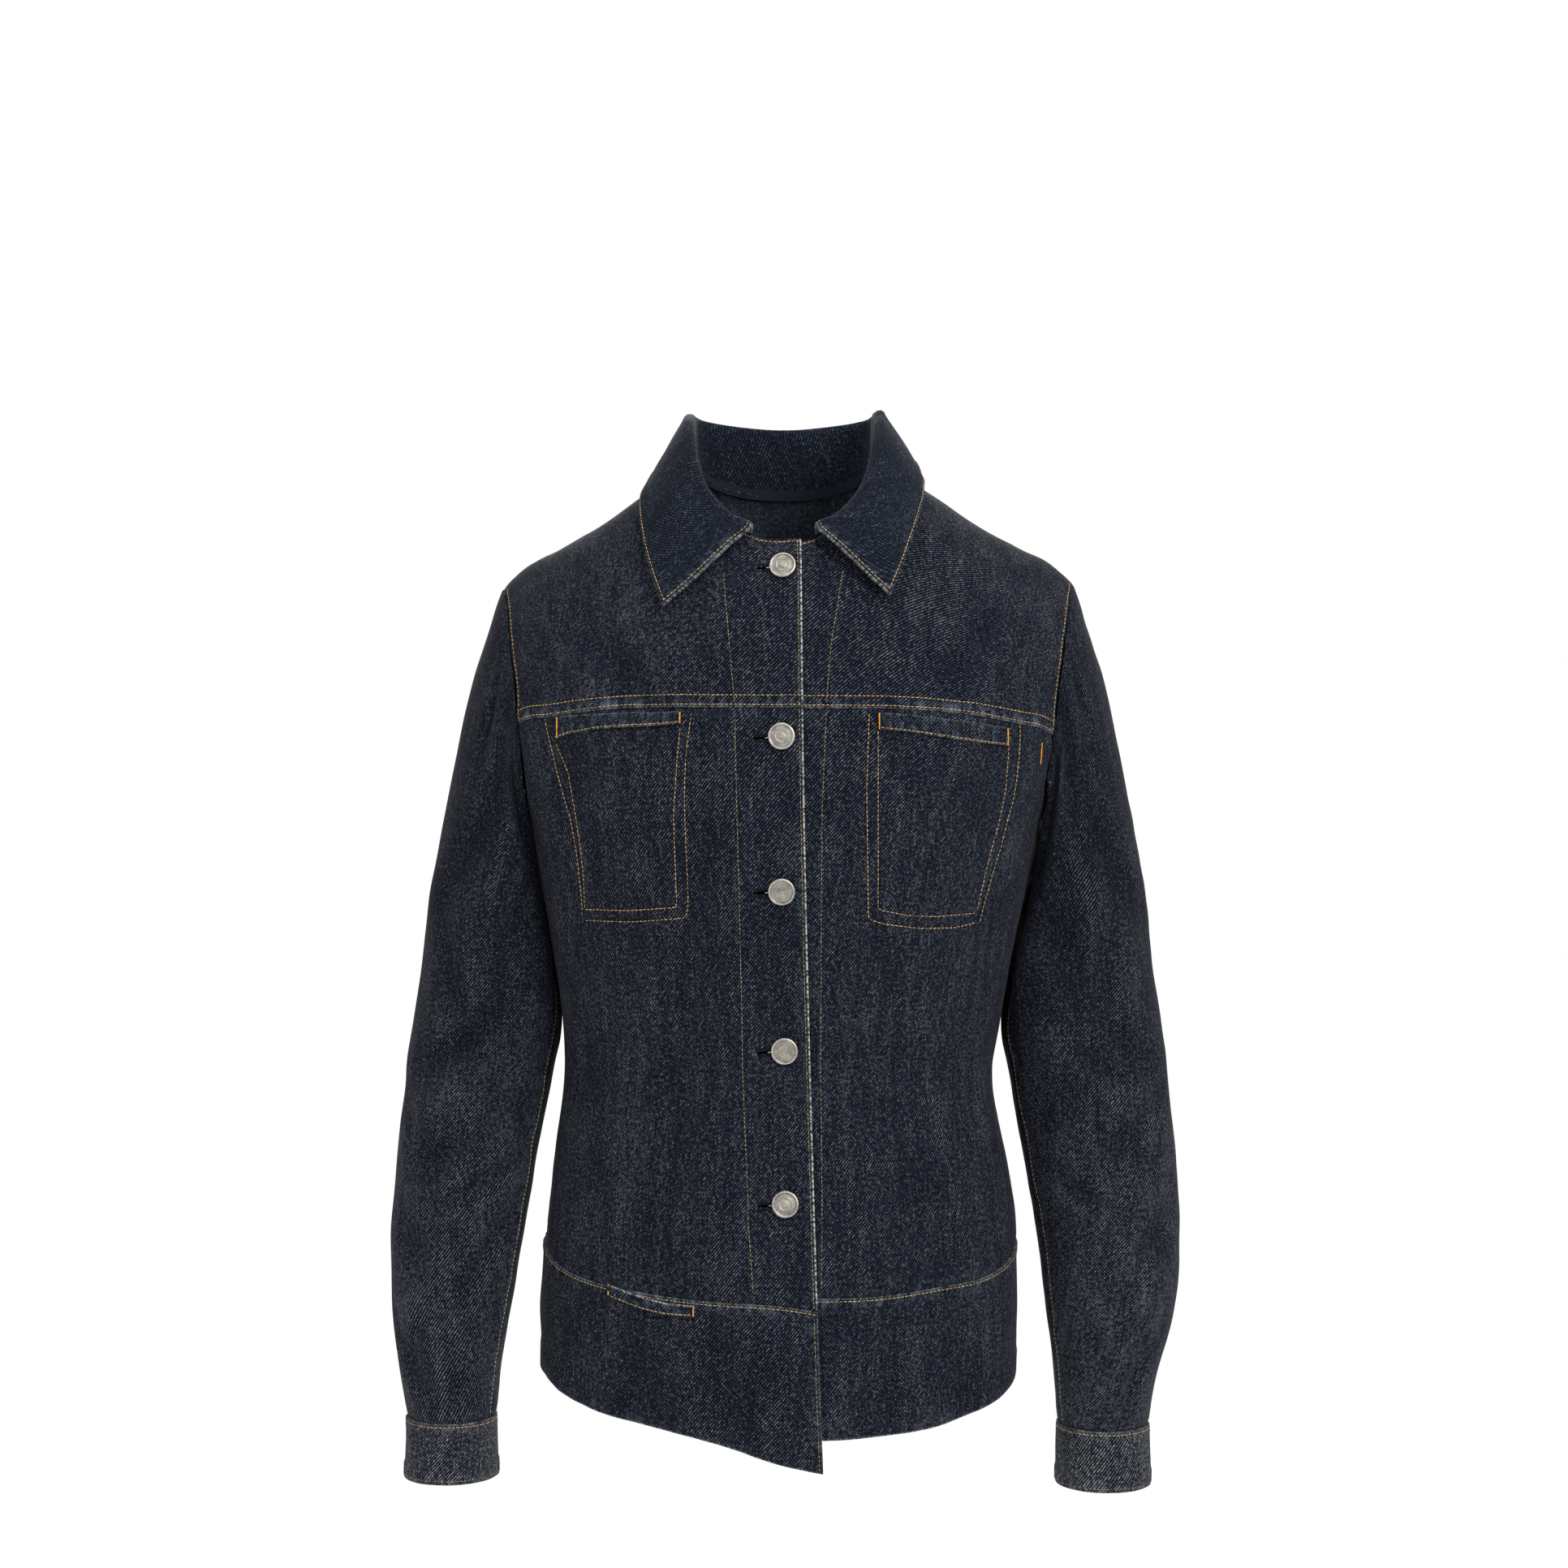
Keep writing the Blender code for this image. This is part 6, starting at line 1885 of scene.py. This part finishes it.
# %% [markdown]
# ## Front facings
# Behind each front edge lies a facing, held by one long row of thread from the collar to the band. The row
# leans with the facing: wider at the neck, narrower at the waist.

# %% Rows of the facings
for name, line in {
    "cloth_front_yoke_right": [(-38.4, -76), (-37.3, -95), (-35.9, -108.7), (-34.8, -121.7), (-31.4, -160)],
    RIGHT_PANEL: [(-31.3, -166), (-27.9, -305.7), (-26.9, -354.6), (-26.4, -391.5), (-25, -428.1),
                  (-23.3, -464.3), (-22.7, -488.1), (-19.5, -534)],
    "cloth_front_yoke_left": [(37.8, -74), (35.8, -84.9), (34.1, -98.1), (32.1, -108.6), (30, -121.7),
                              (26.8, -160)],
    LEFT_PANEL: [(26.8, -165.5), (24.1, -228.5), (23.7, -305.8), (23.3, -391.7), (23.8, -428.4),
                 (24.2, -476.3), (23.7, -532)],
}.items():
    sew("tan", *through_places(name, line))

# %% [markdown]
# ## Buttons and buttonholes
# The tack buttons are pressed from plated brass and tumbled to a soft silver. A button is turned, so its
# profile is carried once round its axis. Beside each, the slit of its buttonhole shows, edged with close
# stitches in dark thread; the button pulls to the end of it.

# %% Turned buttons
BUTTON_TURN = 72
BUTTON_RINGS = np.array([
    # radius, height above the cloth, tarnish
    (3.6, 0.0, 0.8), (3.6, 1.2, 0.8), (4.2, 1.35, 0.8), (7.6, 1.4, 0.8),        # neck, back of the cap
    (8.3, 1.6, 0.5), (8.62, 2.1, 0.3), (8.55, 2.6, 0.2), (8.2, 3.05, 0.1),      # rolled rim
    (7.7, 3.18, 0.1), (7.35, 3.12, 0.3), (7.1, 2.92, 0.8), (6.8, 2.84, 0.65),   # groove
    (6.3, 2.86, 0.4), (4.7, 2.90, 0.4), (4.4, 2.98, 0.8), (4.2, 3.02, 0.3),     # dish and ring
    (3.9, 2.96, 0.2), (3.6, 2.90, 0.4), (2.3, 2.90, 0.3), (2.05, 2.98, 0.5),
    (1.2, 3.02, 0.2), (0.4, 3.03, 0.2),                                         # boss
]) * (MM, MM, 1)
CENTRE_RISE = 0.01 * MM    # the middle of the boss above its last ring


def turn_button(name, place, axis):
    """Carries the profile round the axis and closes it with a small disc of quads at the centre."""
    axis = unit(axis)
    side = unit(np.cross(axis, (0, 0, 1.0)))
    up = np.cross(side, axis)
    angle = np.linspace(0, 2 * math.pi, BUTTON_TURN, endpoint=False)[None, :, None]
    radius, height = BUTTON_RINGS[:, 0, None, None], BUTTON_RINGS[:, 1, None, None]
    ring = place + axis * height + radius * (side * np.cos(angle) + up * np.sin(angle))
    count = len(BUTTON_RINGS)
    index = np.arange(count * BUTTON_TURN).reshape(count, BUTTON_TURN)
    after = np.roll(index, -1, axis=1)
    faces = np.stack([index[:-1], after[:-1], after[1:], index[1:]], -1).reshape(-1, 4)
    ends = np.array([place, place + axis * (BUTTON_RINGS[-1, 1] + CENTRE_RISE)])
    even_ones, odd_ones = np.arange(0, BUTTON_TURN, 2), np.arange(1, BUTTON_TURN, 2)
    nexts = (even_ones + 2) % BUTTON_TURN
    back, front = (np.full(len(odd_ones), count * BUTTON_TURN + k) for k in (0, 1))
    last = index[-1, 0]
    tops = np.stack([front, last + even_ones, last + odd_ones, last + nexts], -1)
    foot = np.stack([back, nexts, odd_ones, even_ones], -1)
    turned = np.concatenate([ring.reshape(-1, 3), ends])
    tarnish = np.append(np.repeat(BUTTON_RINGS[:, 2], BUTTON_TURN), (BUTTON_RINGS[0, 2], BUTTON_RINGS[-1, 2]))
    faces = np.concatenate([faces, tops, foot])
    made = make_mesh(name, turned, faces, [finishes["metal"]], values={"tarnish": tarnish})
    return made


def brushed_metal():
    """Nickel-plated brass, tumbled: grey silver, with fine random scratches and a duller groove."""
    made, tree, shader = shader_of("tumbled_nickel")
    where = add(tree, "TexCoord").outputs["Object"]
    fine = add(tree, "TexNoise", Vector=where, Scale=1 / (0.6 * MM), Detail=4.0).outputs["Fac"]
    broad = add(tree, "TexNoise", Vector=where, Scale=1 / (5 * MM), Detail=2.0).outputs["Fac"]
    tarnish = add(tree, "Attribute", {"attribute_name": "tarnish"}).outputs["Fac"]
    shine = weighted(tree, ((broad, 0.5), (fine, 0.5), (tarnish, -0.45)))
    tree.links.new(ramp(tree, shine, ((0.05, "#3c3a36"), (0.60, "#98958c"))), shader.inputs["Base Color"])
    rough = add(tree, "MapRange", Value=fine, From_Min=0.3, From_Max=0.7, To_Min=0.38, To_Max=0.55)
    tree.links.new(rough.outputs[0], shader.inputs["Roughness"])
    bump = add(tree, "Bump", Strength=0.25, Distance=0.1 * MM, Height=fine)
    tree.links.new(bump.outputs[0], shader.inputs["Normal"])
    shader.inputs["Metallic"].default_value = 1.0
    return made


finishes["metal"] = brushed_metal()
BUTTON_CARRIERS = ["cloth_front_yoke_right"] + [RIGHT_PANEL] * 4
AXIS_REACH = 2 * MM        # how far inside the cuff its button's axis begins
CUFF_BUTTON_LIFT = 0.4 * MM
for number, (place, carrier) in enumerate(zip(FRONT_BUTTONS, BUTTON_CARRIERS), start=1):
    (point,), (normal,) = sample(carrier, *find(carrier, place[None]))
    made = turn_button(f"button_{number}", point + normal * BUTTON_GAP, normal)
    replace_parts(made, f"front_button_{number}")
for label, side in SIDES.items():
    angle = math.radians(CUFF_BUTTON_ANGLE + 360)
    place, inner = (
        cuff_place(side, angle, CUFF_BUTTON_DROP, CUFF_PROUD + lift) for lift in (BUTTON_GAP, -AXIS_REACH)
    )
    axis = unit(place - inner)
    made = turn_button(f"button_cuff_{label}", place + axis * CUFF_BUTTON_LIFT, axis)
    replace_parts(made, f"cuff_button_{label}")
print(f"{len(FRONT_BUTTONS)} buttons at the front, {len(SIDES)} on the cuffs")

# %% Buttonholes
HOLE_ENDS = np.array([(-17.5, -1.2), (-3.0, -0.4)])    # both ends of a slit from its button, in millimetres
HOLE_STEP = 0.75 * MM
HOLE_HALF = 1.15 * MM                                  # half of its width, where it is widest
HOLE_NARROW = 0.15                                     # share of that width at the end away from the button
HOLE_LIPS = (-1, -0.33, 0.33, 1)
HOLE_LIFT, HOLE_DEPTH = 0.25 * MM, 0.3 * MM
EDGE_REACH = (1.3 * MM, 2.8 * MM)                      # both ends of an edging stitch beside the slit
EDGE_LIFT, EDGE_RADIUS = 0.2 * MM, 0.36 * MM
TAIL, TAIL_LIFT, TAIL_RADIUS = [-11, -7], 0.4 * MM, 0.4 * MM
hole_black, _, hole_shader = shader_of("buttonhole_shadow")
hole_shader.inputs["Base Color"].default_value = linear("#010102")
hole_shader.inputs["Specular IOR Level"].default_value = 0.0
for number, (place, carrier) in enumerate(zip(FRONT_BUTTONS / MM, BUTTON_CARRIERS), start=1):
    points, normals = even(*through_places(carrier, place + HOLE_ENDS), HOLE_STEP)
    _, sides = line_sides(points, normals)
    half = HOLE_HALF * np.linspace(HOLE_NARROW, 1, len(points))[:, None] ** 0.4
    slit = np.stack([points + sides * lip * half + normals * HOLE_LIFT for lip in HOLE_LIPS])
    faces, _ = shell_faces(*slit.shape[:2])
    slit_points = np.concatenate([slit.reshape(-1, 3), (slit - normals * HOLE_DEPTH).reshape(-1, 3)])
    make_mesh(f"buttonhole_{number}", slit_points, faces[:, ::-1], [hole_black])
    for way in (-1, 1):
        for point, normal, side in zip(points, normals, sides):
            ends = [point + side * way * reach + normal * EDGE_LIFT for reach in EDGE_REACH]
            single("dark", ends, normal, EDGE_RADIUS, loose=0.1)
    single("pale", points[TAIL] + normals[TAIL] * TAIL_LIFT, normals[TAIL], TAIL_RADIUS, loose=0.05)
print("buttonholes:", number)

# %% Gather the thread into meshes
shape, shape_faces = grain()
for thread, parts in rows_of_thread.items():
    points = np.concatenate([p for p, _ in parts])
    shade = np.concatenate([s for _, s in parts])
    count = len(points) // len(shape)
    faces = (shape_faces[None] + (np.arange(count) * len(shape))[:, None, None]).reshape(-1, 4)
    made = make_mesh(f"thread_{thread}", points, faces, [finishes[thread]], values={"shade": shade})
    print(f"{thread} thread: {count} stitches")

# %% [markdown]
# ## The floor and its finish
# The floor is plain and pale, and isn't part of the jacket.

for name, made in cloths.items():
    size, under = made["size"], made.get("on", ["front_yoke_right"])

# %% Floor and size
FLOOR_HALF, FLOOR_Z = 4.0, -1.45
corners = [(x * FLOOR_HALF, y * FLOOR_HALF, FLOOR_Z) for x, y in ((-1, -1), (1, -1), (1, 1), (-1, 1))]
floor_mesh = bpy.data.meshes.new("floor")
floor_mesh.from_pydata(corners, [], [(0, 1, 2, 3)])
floor = bpy.data.objects.new("floor", floor_mesh)
bpy.context.collection.objects.link(floor)
plaster, _, plaster_shader = shader_of("white_floor")
plaster_shader.inputs["Base Color"].default_value = linear("#f7f7f7")
plaster_shader.inputs["Roughness"].default_value = 0.9
floor_mesh.materials.append(plaster)
